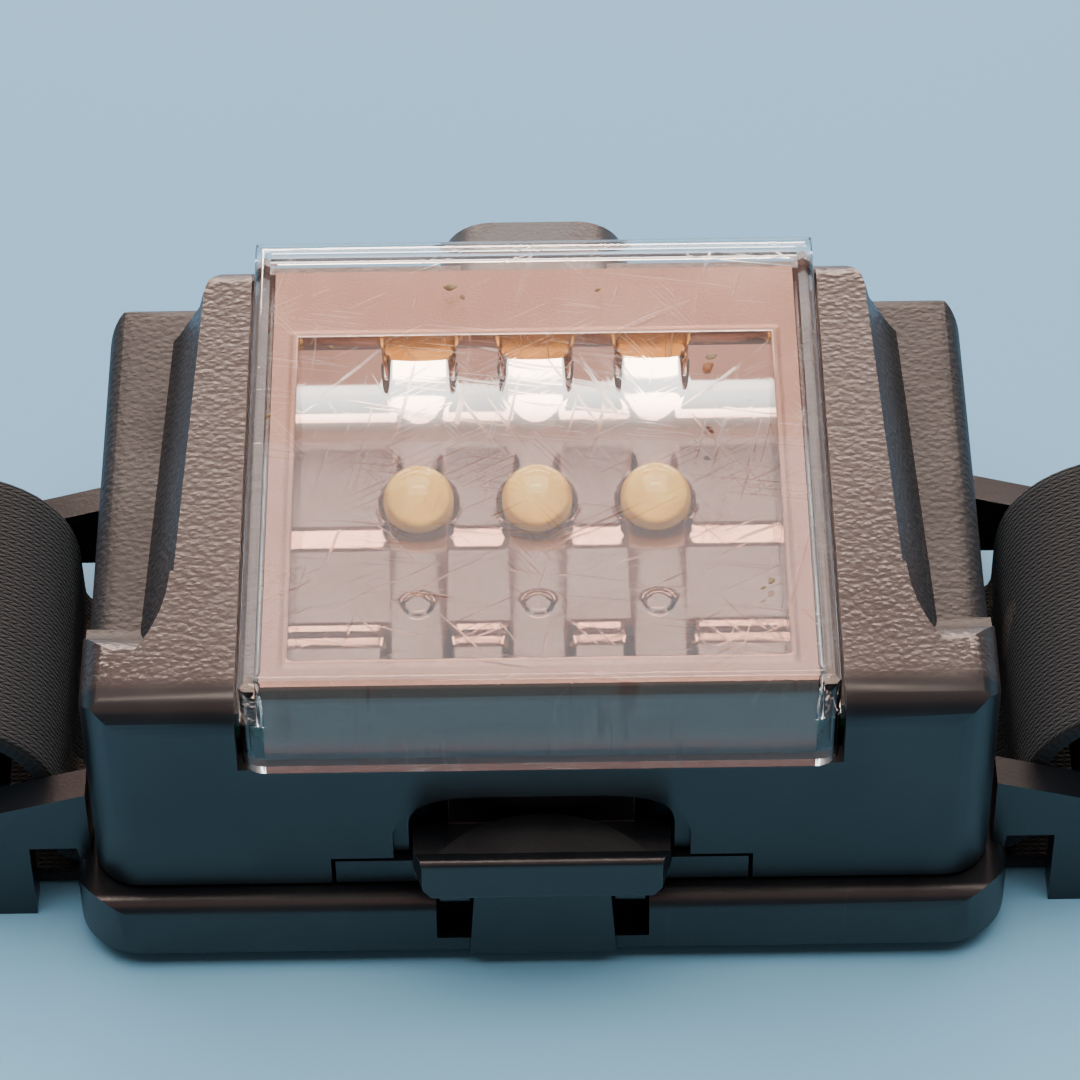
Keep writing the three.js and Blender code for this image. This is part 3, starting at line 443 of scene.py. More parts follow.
@dataclass(frozen=True)
class ClearPlastic(Finish):
    """Clear acrylic: hairline scratches, a faint haze, and light that passes straight through it."""

    tint: Colour = (0.97, 0.95, 0.93)
    index: float = 1.47
    roughness: float = 0.01
    scratched: float = 0.5

    def build(self) -> bpy.types.Material:
        """Builds the material."""
        material, sheet, shader, place = self.start()
        marks = sheet.group(self.effects.scratches, Vector=place, Amount=self.scratched, Density=0.75)
        hairs = marks.outputs["Mask"]
        dust = sheet.group(self.effects.dust, Vector=place, Amount=0.35).outputs["Mask"]
        sheet.feed(shader.inputs["Base Color"], sheet.blend(dust, self.tint, (0.8, 0.72, 0.64)))
        rough = sheet.maths("ADD", sheet.maths("MULTIPLY", hairs, 0.35), self.roughness)
        sheet.feed(shader.inputs["Roughness"], sheet.maths("ADD", rough, sheet.maths("MULTIPLY", dust, 0.12)))
        sheet.feed(shader.inputs["Normal"], self.bump(sheet, hairs, -0.01 * MM))
        shader.inputs["Transmission Weight"].default_value = 1.0
        shader.inputs["IOR"].default_value = self.index
        clear = sheet.add("ShaderNodeBsdfTransparent", {"Color": self.tint})
        path = sheet.add("ShaderNodeLightPath").outputs["Is Shadow Ray"]
        both = sheet.add("ShaderNodeMixShader", {0: path, 1: shader.outputs[0], 2: clear.outputs[0]})
        out = material.node_tree.nodes["Material Output"]
        sheet.feed(out.inputs["Surface"], both.outputs[0])
        return material


@dataclass(frozen=True)
class Chrome(Finish):
    """Vacuum-metallised plastic, finely textured on the flange round the trough; its colour is painted light
    and shade: a dark warm tone on the flange and near floor, bright on the far walls.
    """

    # The dark warm colour is painted shade on the flange and near floor; the bright colour is a painted
    # highlight on the far walls.
    colour: Colour = (0.19, 0.108, 0.084)
    bright: Colour = (1.0, 0.84, 0.75)
    bright_from: float = 6.0 * MM
    window: tuple[float, float, float] = (17.0 * MM, -19.5 * MM, 11.5 * MM)

    def build(self) -> bpy.types.Material:
        """Builds the material."""
        material, sheet, shader, place = self.start()
        axes = sheet.add("ShaderNodeSeparateXYZ", {0: place})
        side, near, far = self.window
        past_far = sheet.maths("SUBTRACT", axes.outputs["Y"], far)
        past = sheet.maths("MAXIMUM", past_far, sheet.maths("SUBTRACT", near, axes.outputs["Y"]))
        past_side = sheet.maths("SUBTRACT", sheet.maths("ABSOLUTE", axes.outputs["X"]), side)
        past = sheet.maths("MAXIMUM", past, past_side)
        flange = sheet.fade(past, -0.1 * MM, 0.3 * MM)
        grain = sheet.group(self.effects.grain, Vector=place, Scale=1 / (0.22 * MM)).outputs["Height"]
        hairs = sheet.group(self.effects.scratches, Vector=place, Amount=1.0, Density=0.9).outputs["Mask"]
        dust = sheet.group(self.effects.dust, Vector=place, Amount=0.5).outputs["Mask"]
        # Painted light: past a given distance towards the far side, the trough's chrome turns bright, outside
        # the flange.
        painted_bright_far = sheet.fade(axes.outputs["Y"], self.bright_from, self.bright_from + 3 * MM)
        painted_bright_far = sheet.maths("MULTIPLY", painted_bright_far, sheet.maths("SUBTRACT", 1.0, flange))
        colour = sheet.blend(painted_bright_far, self.colour, self.bright)
        sheet.feed(shader.inputs["Base Color"], sheet.blend(dust, colour, (0.3, 0.22, 0.19)))
        shader.inputs["Metallic"].default_value = 1.0
        base = sheet.fade(flange, 0, 1, (0.05, 0.36))
        rough = sheet.maths("ADD", base, sheet.maths("MULTIPLY", hairs, 0.3))
        sheet.feed(shader.inputs["Roughness"], sheet.maths("ADD", rough, sheet.maths("MULTIPLY", dust, 0.15)))
        fine = self.bump(sheet, sheet.maths("MULTIPLY", grain, flange), 0.02 * MM)
        sheet.feed(shader.inputs["Normal"], self.bump(sheet, hairs, 0.006 * MM, fine))
        return material


@dataclass(frozen=True)
class Phosphor(Finish):
    """The cured yellow phosphor in a white lamp's cup."""

    colour: Colour = (0.78, 0.41, 0.025)
    rim: Colour = (0.86, 0.53, 0.08)

    def build(self) -> bpy.types.Material:
        """Builds the material."""
        material, sheet, shader, place = self.start()
        cloud = sheet.fade(sheet.noise(place, 700, 4), 0.35, 0.65)
        sheet.feed(shader.inputs["Base Color"], sheet.blend(cloud, self.colour, self.rim))
        sheet.feed(shader.inputs["Roughness"], sheet.fade(cloud, 0, 1, (0.45, 0.6)))
        sheet.feed(shader.inputs["Normal"], self.bump(sheet, cloud, 0.02 * MM))
        return material


@dataclass(frozen=True)
class Steel(Finish):
    """Bare or plated metal with fine drawing lines and dull patches."""

    colour: Colour = (0.62, 0.6, 0.57)
    dull: Colour = (0.36, 0.34, 0.32)
    roughness: float = 0.28

    def build(self) -> bpy.types.Material:
        """Builds the material."""
        material, sheet, shader, place = self.start()
        drawn = sheet.noise(sheet.turned(place, (300, 4200, 4200)), 1.0, 2)
        stain = sheet.fade(sheet.noise(place, 260, 4), 0.45, 0.7)
        hairs = sheet.group(self.effects.scratches, Vector=place, Amount=0.7, Density=0.5).outputs["Mask"]
        sheet.feed(shader.inputs["Base Color"], sheet.blend(stain, self.colour, self.dull))
        shader.inputs["Metallic"].default_value = 1.0
        rough = sheet.fade(drawn, 0.3, 0.7, (self.roughness - 0.08, self.roughness + 0.1))
        scored = sheet.maths("MULTIPLY", hairs, 0.15)
        sheet.feed(shader.inputs["Roughness"], sheet.maths("ADD", rough, scored))
        sheet.feed(shader.inputs["Normal"], self.bump(sheet, drawn, 0.004 * MM))
        return material


@dataclass(frozen=True)
class Rubber(Finish):
    """Moulded rubber: matt, finely pitted, with a soft sheen."""

    colour: Colour = (0.06, 0.06, 0.062)
    worn: Colour = (0.12, 0.11, 0.105)
    roughness: float = 0.6
    pit: float = 0.3 * MM

    def build(self) -> bpy.types.Material:
        """Builds the material."""
        material, sheet, shader, place = self.start()
        grain = sheet.group(self.effects.grain, Vector=place, Scale=1 / self.pit, Wrinkle=0.8)
        pits = grain.outputs["Height"]
        dust = sheet.group(self.effects.dust, Vector=place, Amount=0.25).outputs["Mask"]
        patch = sheet.fade(sheet.noise(place, 180, 4), 0.4, 0.7)
        colour = sheet.blend(sheet.maths("MULTIPLY", patch, 0.6), self.colour, self.worn)
        sheet.feed(shader.inputs["Base Color"], sheet.blend(dust, colour, (0.2, 0.18, 0.16)))
        spread = (self.roughness - 0.06, self.roughness + 0.08)
        sheet.feed(shader.inputs["Roughness"], sheet.fade(patch, 0, 1, spread))
        sheet.feed(shader.inputs["Normal"], self.bump(sheet, pits, 0.015 * MM))
        shader.inputs["Sheen Weight"].default_value = 0.15
        return material


@dataclass(frozen=True)
class BoardMask(Finish):
    """Green solder mask over a copper pattern, with tinned pads."""

    colour: Colour = (0.01, 0.09, 0.04)
    track: Colour = (0.02, 0.17, 0.075)
    pad: Colour = (0.6, 0.58, 0.54)

    def build(self) -> bpy.types.Material:
        """Builds the material."""
        material, sheet, shader, place = self.start()
        flat = sheet.turned(place, (180, 180, 0))
        cells = sheet.add("ShaderNodeTexVoronoi", {"Vector": flat, "Scale": 1.0}, distance="CHEBYCHEV")
        track = sheet.fade(cells.outputs["Distance"], 0.36, 0.39)
        flat = sheet.turned(place, (330, 330, 0))
        dots = sheet.add("ShaderNodeTexVoronoi", {"Vector": flat, "Scale": 1.0, "Randomness": 0.6})
        pads = sheet.fade(dots.outputs["Distance"], 0.16, 0.13)
        colour = sheet.blend(track, self.colour, self.track)
        sheet.feed(shader.inputs["Base Color"], sheet.blend(pads, colour, self.pad))
        sheet.feed(shader.inputs["Metallic"], pads)
        sheet.feed(shader.inputs["Roughness"], sheet.fade(sheet.noise(place, 300, 3), 0.3, 0.7, (0.25, 0.38)))
        relief = sheet.maths("ADD", track, sheet.maths("MULTIPLY", pads, 2.0))
        sheet.feed(shader.inputs["Normal"], self.bump(sheet, relief, 0.02 * MM))
        return material


@dataclass(frozen=True)
class CellJacket(Finish):
    """A dry cell's printed foil jacket: a copper-coloured end band on black, and bare steel at its ends."""

    main: Colour = (0.015, 0.015, 0.017)
    band: Colour = (0.45, 0.2, 0.07)
    metal: Colour = (0.62, 0.6, 0.57)
    half: float = 21.6 * MM
    band_from: float = 11.0 * MM

    def build(self) -> bpy.types.Material:
        """Builds the material."""
        material, sheet, shader, place = self.start()
        along = sheet.add("ShaderNodeAttribute", attribute_name="along").outputs["Fac"]
        bare = sheet.fade(sheet.maths("ABSOLUTE", along), self.half - 0.05 * MM, self.half + 0.05 * MM)
        banded = sheet.fade(along, self.band_from, self.band_from + 0.15 * MM)
        hairs = sheet.group(self.effects.scratches, Vector=place, Amount=0.6, Density=0.5).outputs["Mask"]
        colour = sheet.blend(banded, self.main, self.band)
        colour = sheet.blend(sheet.maths("MULTIPLY", hairs, 0.5), colour, (0.3, 0.28, 0.26))
        sheet.feed(shader.inputs["Base Color"], sheet.blend(bare, colour, self.metal))
        foil = sheet.maths("MULTIPLY", banded, 0.8)
        sheet.feed(shader.inputs["Metallic"], sheet.maths("MAXIMUM", bare, foil))
        sheet.feed(shader.inputs["Roughness"], sheet.fade(sheet.noise(place, 200, 4), 0.3, 0.7, (0.22, 0.36)))
        sheet.feed(shader.inputs["Normal"], self.bump(sheet, sheet.noise(place, 900, 3), 0.006 * MM))
        return material


@dataclass(frozen=True)
class Webbing(Finish):
    """Knitted stretch webbing in two colours, its blots broken into whole stitches."""

    dark: Colour = (0.006, 0.006, 0.007)
    tan: Colour = (0.2, 0.115, 0.075)
    pitch: float = 0.42
    width: float = 24.6

    def build(self) -> bpy.types.Material:
        """Builds the material."""
        material, sheet, shader, place = self.start()
        cloth = sheet.add("ShaderNodeUVMap", uv_map="cloth").outputs[0]
        weave = sheet.group(self.effects.weave, Vector=cloth, Pitch=self.pitch)
        snapped = sheet.add("ShaderNodeVectorMath", {0: cloth, 1: (0.6, self.pitch, 1.0)}, operation="SNAP")
        wide = sheet.turned(snapped.outputs[0], (0.055, 0.075, 1), place=(3.6, 2.9, 0))
        blots = sheet.noise(wide, 1.0, 1, 1.0)
        tan = sheet.fade(blots, 0.61, 0.63)
        thread = sheet.noise(cloth, 2.4, 4)
        dark = sheet.blend(thread, self.dark, (0.02, 0.018, 0.018))
        light = sheet.blend(thread, (0.13, 0.075, 0.05), self.tan)
        colour = sheet.blend(tan, dark, light)
        shade = sheet.fade(weave.outputs["Stitch"], 0.2, 0.9, (0.45, 1.0))
        shaded = sheet.add("ShaderNodeMix", data_type="RGBA", blend_type="MULTIPLY")
        sheet.feed(shaded.inputs[0], 1.0)
        sheet.feed(shaded.inputs[6], colour)
        grey = sheet.add("ShaderNodeCombineColor", {0: shade, 1: shade, 2: shade})
        sheet.feed(shaded.inputs[7], grey.outputs[0])
        sheet.feed(shader.inputs["Base Color"], shaded.outputs[2])
        sheet.feed(shader.inputs["Roughness"], sheet.fade(thread, 0.3, 0.7, (0.78, 0.92)))
        sheet.feed(shader.inputs["Normal"], self.bump(sheet, weave.outputs["Height"], 0.12 * MM))
        shader.inputs["Sheen Weight"].default_value = 0.08
        shader.inputs["Sheen Roughness"].default_value = 0.5
        return material


@dataclass(frozen=True)
class Grime(Finish):
    """Dried brown dirt."""

    colour: Colour = (0.2, 0.085, 0.03)

    def build(self) -> bpy.types.Material:
        """Builds the material."""
        material, sheet, shader, place = self.start()
        cloud = sheet.fade(sheet.noise(place, 1800, 3), 0.35, 0.65)
        sheet.feed(shader.inputs["Base Color"], sheet.blend(cloud, self.colour, (0.42, 0.24, 0.12)))
        sheet.feed(shader.inputs["Roughness"], sheet.fade(cloud, 0, 1, (0.7, 0.9)))
        sheet.feed(shader.inputs["Normal"], self.bump(sheet, cloud, 0.05 * MM))
        return material


class FinishRack:
    """Every finish of the headlamp, built once."""

    def __init__(self, effects: EffectGroups) -> None:
        """Builds the materials."""
        near_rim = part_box("front_housing")[0].y + 2.2 * MM
        self.housing = MouldedPlastic(
            "Grained black plastic",
            effects,
            # Painted sheen: this brown grained colour stands for the warm light's reflection off the grain.
            grained_sheen_colour=(0.05, 0.028, 0.022),
            smooth_rim=near_rim,
            # Painted shade: the recessed surfaces below this height are darkened.
            shade_and_dull_below=24.2 * MM,
            roughness=0.36,
            grain_depth=0.06 * MM,
            stretch=1.3,
        ).build()
        self.satin = MouldedPlastic(
            "Satin black plastic",
            effects,
            colour=(0.022, 0.019, 0.021),
            roughness=0.34,
            grain_size=0.25 * MM,
            grain_depth=0.008 * MM,
        ).build()
        self.clear = ClearPlastic("Clear lens plastic", effects).build()
        self.epoxy = ClearPlastic("Clear lamp epoxy", effects, scratched=0.1, index=1.5).build()
        self.chrome = Chrome("Metallised reflector", effects).build()
        self.phosphor = Phosphor("Lamp phosphor", effects).build()
        self.steel = Steel("Plated steel", effects).build()
        self.button = Rubber("Button rubber", effects, colour=(0.05, 0.035, 0.03), roughness=0.45).build()
        self.seal = Rubber(
            "Seal rubber", effects, colour=(0.14, 0.14, 0.145), worn=(0.22, 0.22, 0.22)
        ).build()
        self.board = BoardMask("Board solder mask", effects).build()
        self.component = MouldedPlastic(
            "Component body", effects, roughness=0.5, grain_size=0.15 * MM, grain_depth=0.006 * MM, wear=0.2
        ).build()
        self.jacket = CellJacket("Cell jacket", effects).build()
        self.webbing = Webbing("Camouflage webbing", effects).build()
        self.grime = Grime("Dried grime", effects).build()


# ---------------------------------------------------------------- shared piece building


@dataclass
class SubAssembly:
    """What every sub-assembly does with a finished mesh."""

    rack: FinishRack
    body: Body = Body.HEAD
    made: list[bpy.types.Object] = field(default_factory=list)

    def piece(self, bm: bmesh.types.BMesh, name: str, soft_angle: float = 35.0) -> bpy.types.Object:
        """Turns a bmesh into an object at the origin, shaded smooth up to an angle.

        Args:
            bm: The shaped mesh, which is freed.
            name: The piece's name.
            soft_angle: Edges sharper than this stay sharp, in degrees.

        Returns:
            The new object.
        """
        mesh = bpy.data.meshes.new(name)
        for face in bm.faces:
            face.smooth = True
        bm.to_mesh(mesh)
        bm.free()
        mesh.set_sharp_from_angle(angle=math.radians(soft_angle))
        piece = bpy.data.objects.new(name, mesh)
        bpy.context.scene.collection.objects.link(piece)
        return piece

    def fit(
        self,
        piece: bpy.types.Object,
        finish: bpy.types.Material,
        slot: Slot,
        nodes: Sequence[str] = (),
        body: Body | None = None,
    ) -> bpy.types.Object:
        """Dresses a piece and hangs it on the frame.

        Args:
            piece: The finished object.
            finish: Its material.
            slot: The record's slot; not used.
            nodes: The CAD nodes that it stands for.
            body: The body that it rides on, if not the sub-assembly's own.

        Returns:
            The same object.
        """
        if not piece.data.materials:
            piece.data.materials.append(finish)
        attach(piece, (body or self.body).value)
        if nodes:
            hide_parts(*nodes)
        self.made.append(piece)
        return piece

    def refined(
        self,
        node: str,
        name: str,
        finish: bpy.types.Material,
        slot: Slot,
        edge: float = 0.15 * MM,
        body: Body | None = None,
        sharp: float = 40.0,
        segments: int = 2,
    ) -> bpy.types.Object:
        """Makes a fine copy of a CAD node: merged, its hard edges rounded and marked for wear, then dressed.

        Args:
            node: The CAD node.
            name: The new piece's name.
            finish: Its material.
            slot: The record's slot, passed on to fit, which does not use it.
            edge: Width of the rounding.
            body: The body, if not the sub-assembly's own.
            sharp: Edges sharper than this are rounded, in degrees.
            segments: Steps in each rounding.

        Returns:
            The new piece.
        """
        bm = bmesh.new()
        bm.from_mesh(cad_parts[node].data)
        bmesh.ops.remove_doubles(bm, verts=bm.verts, dist=0.002 * MM)
        bmesh.ops.dissolve_limit(bm, angle_limit=math.radians(0.8), verts=bm.verts, edges=bm.edges)
        hard = [e for e in bm.edges if e.is_manifold and e.calc_face_angle(0.0) > math.radians(sharp)]
        marks = bm.loops.layers.float.new("edge")
        if hard and edge:
            rounded = bmesh.ops.bevel(
                bm,
                geom=hard,
                offset=edge,
                offset_type="OFFSET",
                segments=segments,
                profile=0.5,
                affect="EDGES",
                clamp_overlap=True,
                material=-1,
            )
            for face in rounded["faces"]:
                for loop in face.loops:
                    loop[marks] = 1.0
        piece = self.piece(bm, name)
        shade = piece.modifiers.new("Even shading", "WEIGHTED_NORMAL")
        shade.keep_sharp = True
        return self.fit(piece, finish, slot, [node], body)

    def report(self) -> None:
        """Logs every piece that was made."""
        for piece in self.made:
            LOG.info("%s: %s, %d faces", type(self).__name__, piece.name, len(piece.data.polygons))


# ---------------------------------------------------------------- lamp head


@dataclass
class HeadShell(SubAssembly):
    """The front housing, its power button and the release tab."""

    def build(self) -> None:
        """Builds the shell's pieces."""
        rack = self.rack
        self.refined("front_housing", "housing_shell", rack.housing, Slot.HOUSING, 0.2 * MM)
        self.refined("power_button", "power_button_cap", rack.button, Slot.BUTTON, 0.3 * MM, Body.BUTTON)
        self.refined("release_tab", "release_tab_lever", rack.satin, Slot.SATIN, 0.2 * MM, Body.TAB)


@dataclass
class LensCover(SubAssembly):
    """The clear saddle over the reflector, and the dirt on it."""

    specks: tuple[tuple[float, float, float, float], ...] = (
        (12.6, 8.1, 0.42, 0.3),
        (16.0, -13.7, 0.38, 1.4),
        (15.4, -14.4, 0.2, 0.4),
        (-19.0, 2.8, 0.25, 0.9),
        (-6.1, 15.6, 0.5, 0.2),
        (-5.2, 14.6, 0.3, 1.9),
        (4.6, 15.2, 0.28, 0.7),
        (-14.6, 9.6, 0.2, 2.4),
    )

    def build(self) -> None:
        """Builds the lens."""
        self.refined("lens_cover", "lens_shell", self.rack.clear, Slot.CLEAR, 0.25 * MM, segments=3)
        self.grime()

    def grime(self) -> None:
        """Builds the few dried specks on the lens's face, each a small flattened lump."""
        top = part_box("lens_cover")[1].z
        bm = bmesh.new()
        for x, y, size, turn in self.specks:
            place = Matrix.Translation((x * MM, y * MM, top)) @ Matrix.Rotation(turn, 4, "Z")
            shape = place @ Matrix.Diagonal((size * MM, 0.6 * size * MM, 0.08 * MM, 1))
            lump = bmesh.ops.create_icosphere(bm, subdivisions=3, radius=1.0, matrix=shape)["verts"]
            for vert in lump:
                swell = 0.22 * math.sin(vert.co.x / MM * 9 + turn) * math.cos(vert.co.y / MM * 11)
                vert.co.xy += (vert.co.xy - Vector((x * MM, y * MM))) * swell
        self.fit(self.piece(bm, "lens_specks", 80), self.rack.grime, Slot.CLEAR)


@dataclass
class Reflector(SubAssembly):
    """The metallised trough with a flute and a cup for each lamp."""

    half_window: float = 17.0 * MM
    window_near: float = -19.5 * MM
    window_far: float = 11.5 * MM
    floor: float = 22.6 * MM
    step: float = 0.2 * MM
    flute_half: float = 2.4 * MM
    flute_neck: float = 1.45 * MM
    bead: float = 0.7 * MM
    block_end: float = 13.0 * MM
    flange: float = 1.4 * MM
    cup: float = 2.9 * MM
    cup_depth: float = 1.2 * MM
    band_slope: float = math.tan(math.radians(11.5))
    lamps: list[float] = field(default_factory=list)

    def ease(self, value: float, low: float, high: float) -> float:
        """A smooth step from 0 at low to 1 at high."""
        t = min(1.0, max(0.0, (value - low) / (high - low)))
        return t * t * (3 - 2 * t)

    def trough(self, y: float) -> float:
        """Height of the floor between the lamps, at y."""
        far = max(0.0, y - 4.5 * MM)
        z = self.floor + 0.072 * far * far / MM
        z += self.band_slope * min(2.5 * MM, max(0.0, -3.4 * MM - y))
        z += self.band_slope * min(1.1 * MM, max(0.0, -12.9 * MM - y))
        z += self.band_slope * min(1.3 * MM, max(0.0, -14.2 * MM - y))
        return z

    def height(self, x: float, y: float, top: float, lamp_y: float) -> float:
        """Height of the reflector at a point.

        Args:
            x: Across the lamp.
            y: Along the lamp.
            top: Height of the flange.
            lamp_y: Where the lamps come through the floor.

        Returns:
            The height.
        """
        outside = max(abs(x) - self.half_window, self.window_near - y, y - self.window_far)
        if outside >= 0:
            return top + 0.16 * MM * math.sin(math.pi * min(1.0, outside / self.bead))
        z = self.trough(y)
        lamp = min(self.lamps, key=lambda at: abs(at - x))
        across = abs(x - lamp)
        if y > lamp_y:
            wide = self.ease(y, 6.0 * MM, 9.0 * MM)
            half = self.flute_neck + (self.flute_half - self.flute_neck) * wide
            climb = max(0.0, y - 2.0 * MM)
            flute = self.floor + 0.021 * climb * climb / MM - 0.35 * MM * (1 - wide)
            flute += 0.2 * MM * min(1.0, across / half) ** 2
            inflow = 1 - self.ease(across, half - 0.2 * MM, half + 0.3 * MM)
            z = z + (flute - z) * inflow
        else:
            channel = 1 - self.ease(across, 1.9 * MM, 2.6 * MM)
            flat = self.floor + 0.25 * MM + 0.06 * across * across / MM
            z = z + (flat - z) * channel
            spot = math.hypot(across, y + 11.1 * MM)
            z += 0.35 * MM * (1 - self.ease(spot, 0.8 * MM, 1.3 * MM))
        near = math.hypot(x - lamp, (y - lamp_y) * 0.92)
        z -= self.cup_depth * (1 - self.ease(near, self.cup - 0.5 * MM, self.cup))
        return z

    def build(self) -> None:
        """Builds the trough as a fine grid pushed to its height, with walls and a stepped underside."""
        low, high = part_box("reflector")
        lamp_boxes = [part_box(f"led_{n}") for n in (1, 2, 3)]
        self.lamps = [(lo.x + hi.x) / 2 for lo, hi in lamp_boxes]
        lamp_y = sum((lo.y + hi.y) / 2 for lo, hi in lamp_boxes) / 3 + 0.2 * MM
        size, middle = high - low, (high + low) / 2
        bm = bmesh.new()
        across, along = round(size.x / self.step), round(size.y / self.step)
        bmesh.ops.create_grid(bm, x_segments=across, y_segments=along, size=0.5)
        bmesh.ops.transform(bm, matrix=Matrix.Diagonal((size.x, size.y, 1, 1)), verts=bm.verts)
        bmesh.ops.translate(bm, vec=(middle.x, middle.y, 0), verts=bm.verts)
        for vert in bm.verts:
            vert.co.z = self.height(vert.co.x, vert.co.y, high.z, lamp_y)
        under = bmesh.ops.extrude_face_region(bm, geom=bm.faces[:])["geom"]
        for vert in (v for v in under if isinstance(v, bmesh.types.BMVert)):
            vert.co.z = low.z if vert.co.y < self.block_end else high.z - self.flange
        bmesh.ops.recalc_face_normals(bm, faces=bm.faces)
        piece = self.piece(bm, "reflector_trough", 50)
        self.fit(piece, self.rack.chrome, Slot.CHROME, ["reflector"])


@dataclass
class LampRow(SubAssembly):
    """The three five-millimetre lamps: a domed epoxy body round a phosphor cup."""

    radius: float = 2.5 * MM
    core: float = 2.12 * MM
    height: float = 6.0 * MM
    lean: float = 0.47
    base: float = 20.62 * MM
    foot_y: float = -0.27 * MM

    def turned(self, profile: Sequence[tuple[float, float]], x: float, steps: int = 48) -> bmesh.types.BMesh:
        """Turns a profile round the lamp's leaning axis.

        Args:
            profile: Radius and height of each point, from the base centre to the tip.
            x: Place of the lamp across the head.
            steps: Steps in the turn.

        Returns:
            The closed shape.
        """
        bm = bmesh.new()
        points = [bm.verts.new((r, 0, z)) for r, z in profile]
        edges = [bm.edges.new(pair) for pair in zip(points, points[1:])]
        bmesh.ops.spin(
            bm,
            geom=points + edges,
            cent=(0, 0, 0),
            axis=(0, 0, 1),
            angle=math.tau,
            steps=steps,
            use_merge=True,
            use_duplicate=False,
        )
        bmesh.ops.remove_doubles(bm, verts=bm.verts, dist=0.001 * MM)
        bmesh.ops.recalc_face_normals(bm, faces=bm.faces)
        lean = Matrix.Translation((x, self.foot_y, self.base)) @ Matrix.Rotation(self.lean, 4, "X")
        bmesh.ops.transform(bm, matrix=lean, verts=bm.verts)
        return bm

    def dome(
        self, radius: float, top: float, crown: float = 1.0, foot: float = 0.0
    ) -> list[tuple[float, float]]:
        """Profile of a cylinder with a domed end.

        Args:
            radius: Radius of the body.
            top: Height of the tip.
            crown: Height of the dome, in radii.
            foot: Height of the base.

        Returns:
            Radius and height of each point.
        """
        start = top - crown * radius
        angles = [math.pi / 24 * n for n in range(12)]
        arc = [(radius * math.cos(a), start + crown * radius * math.sin(a)) for a in angles]
        return [(0.0, foot), (radius * 0.96, foot), (radius, foot + 0.1 * MM), *arc, (0.0, top)]

    def build(self) -> None:
        """Builds the lamps."""
        for number in (1, 2, 3):
            low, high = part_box(f"led_{number}")
            x = (low.x + high.x) / 2
            shell = self.piece(self.turned(self.dome(self.radius, self.height), x), f"lamp_{number}_dome", 60)
            self.fit(shell, self.rack.epoxy, Slot.EPOXY, [f"led_{number}"])
            inner = self.dome(self.core, self.height - 0.9 * MM, 0.35, 1.0 * MM)
            core = self.piece(self.turned(inner, x), f"lamp_{number}_phosphor", 60)
            self.fit(core, self.rack.phosphor, Slot.PHOSPHOR, [f"led_core_{number}"])


@dataclass
class BoardAssembly(SubAssembly):
    """The circuit board with its blades, screws, resistors and switch."""

    def build(self) -> None:
        """Builds the board's pieces."""
        rack = self.rack
        self.refined("circuit_board", "board_plate", rack.board, Slot.BOARD, 0.08 * MM)
        for side in ("left", "right"):
            self.refined(f"contact_blade_{side}", f"blade_{side}", rack.steel, Slot.STEEL, 0.05 * MM)
        for number in range(1, 5):
            self.refined(f"board_screw_{number}", f"screw_{number}", rack.steel, Slot.STEEL, 0.06 * MM)
        for number in range(1, 4):
            name = f"resistor_{number}"
            self.refined(name, f"{name}_body", rack.component, Slot.COMPONENT, 0.05 * MM)
        self.refined("switch_body", "switch_case", rack.component, Slot.COMPONENT, 0.08 * MM)
        self.refined("switch_plunger", "switch_stem", rack.component, Slot.COMPONENT, 0.08 * MM, Body.BUTTON)


# ---------------------------------------------------------------- battery tray


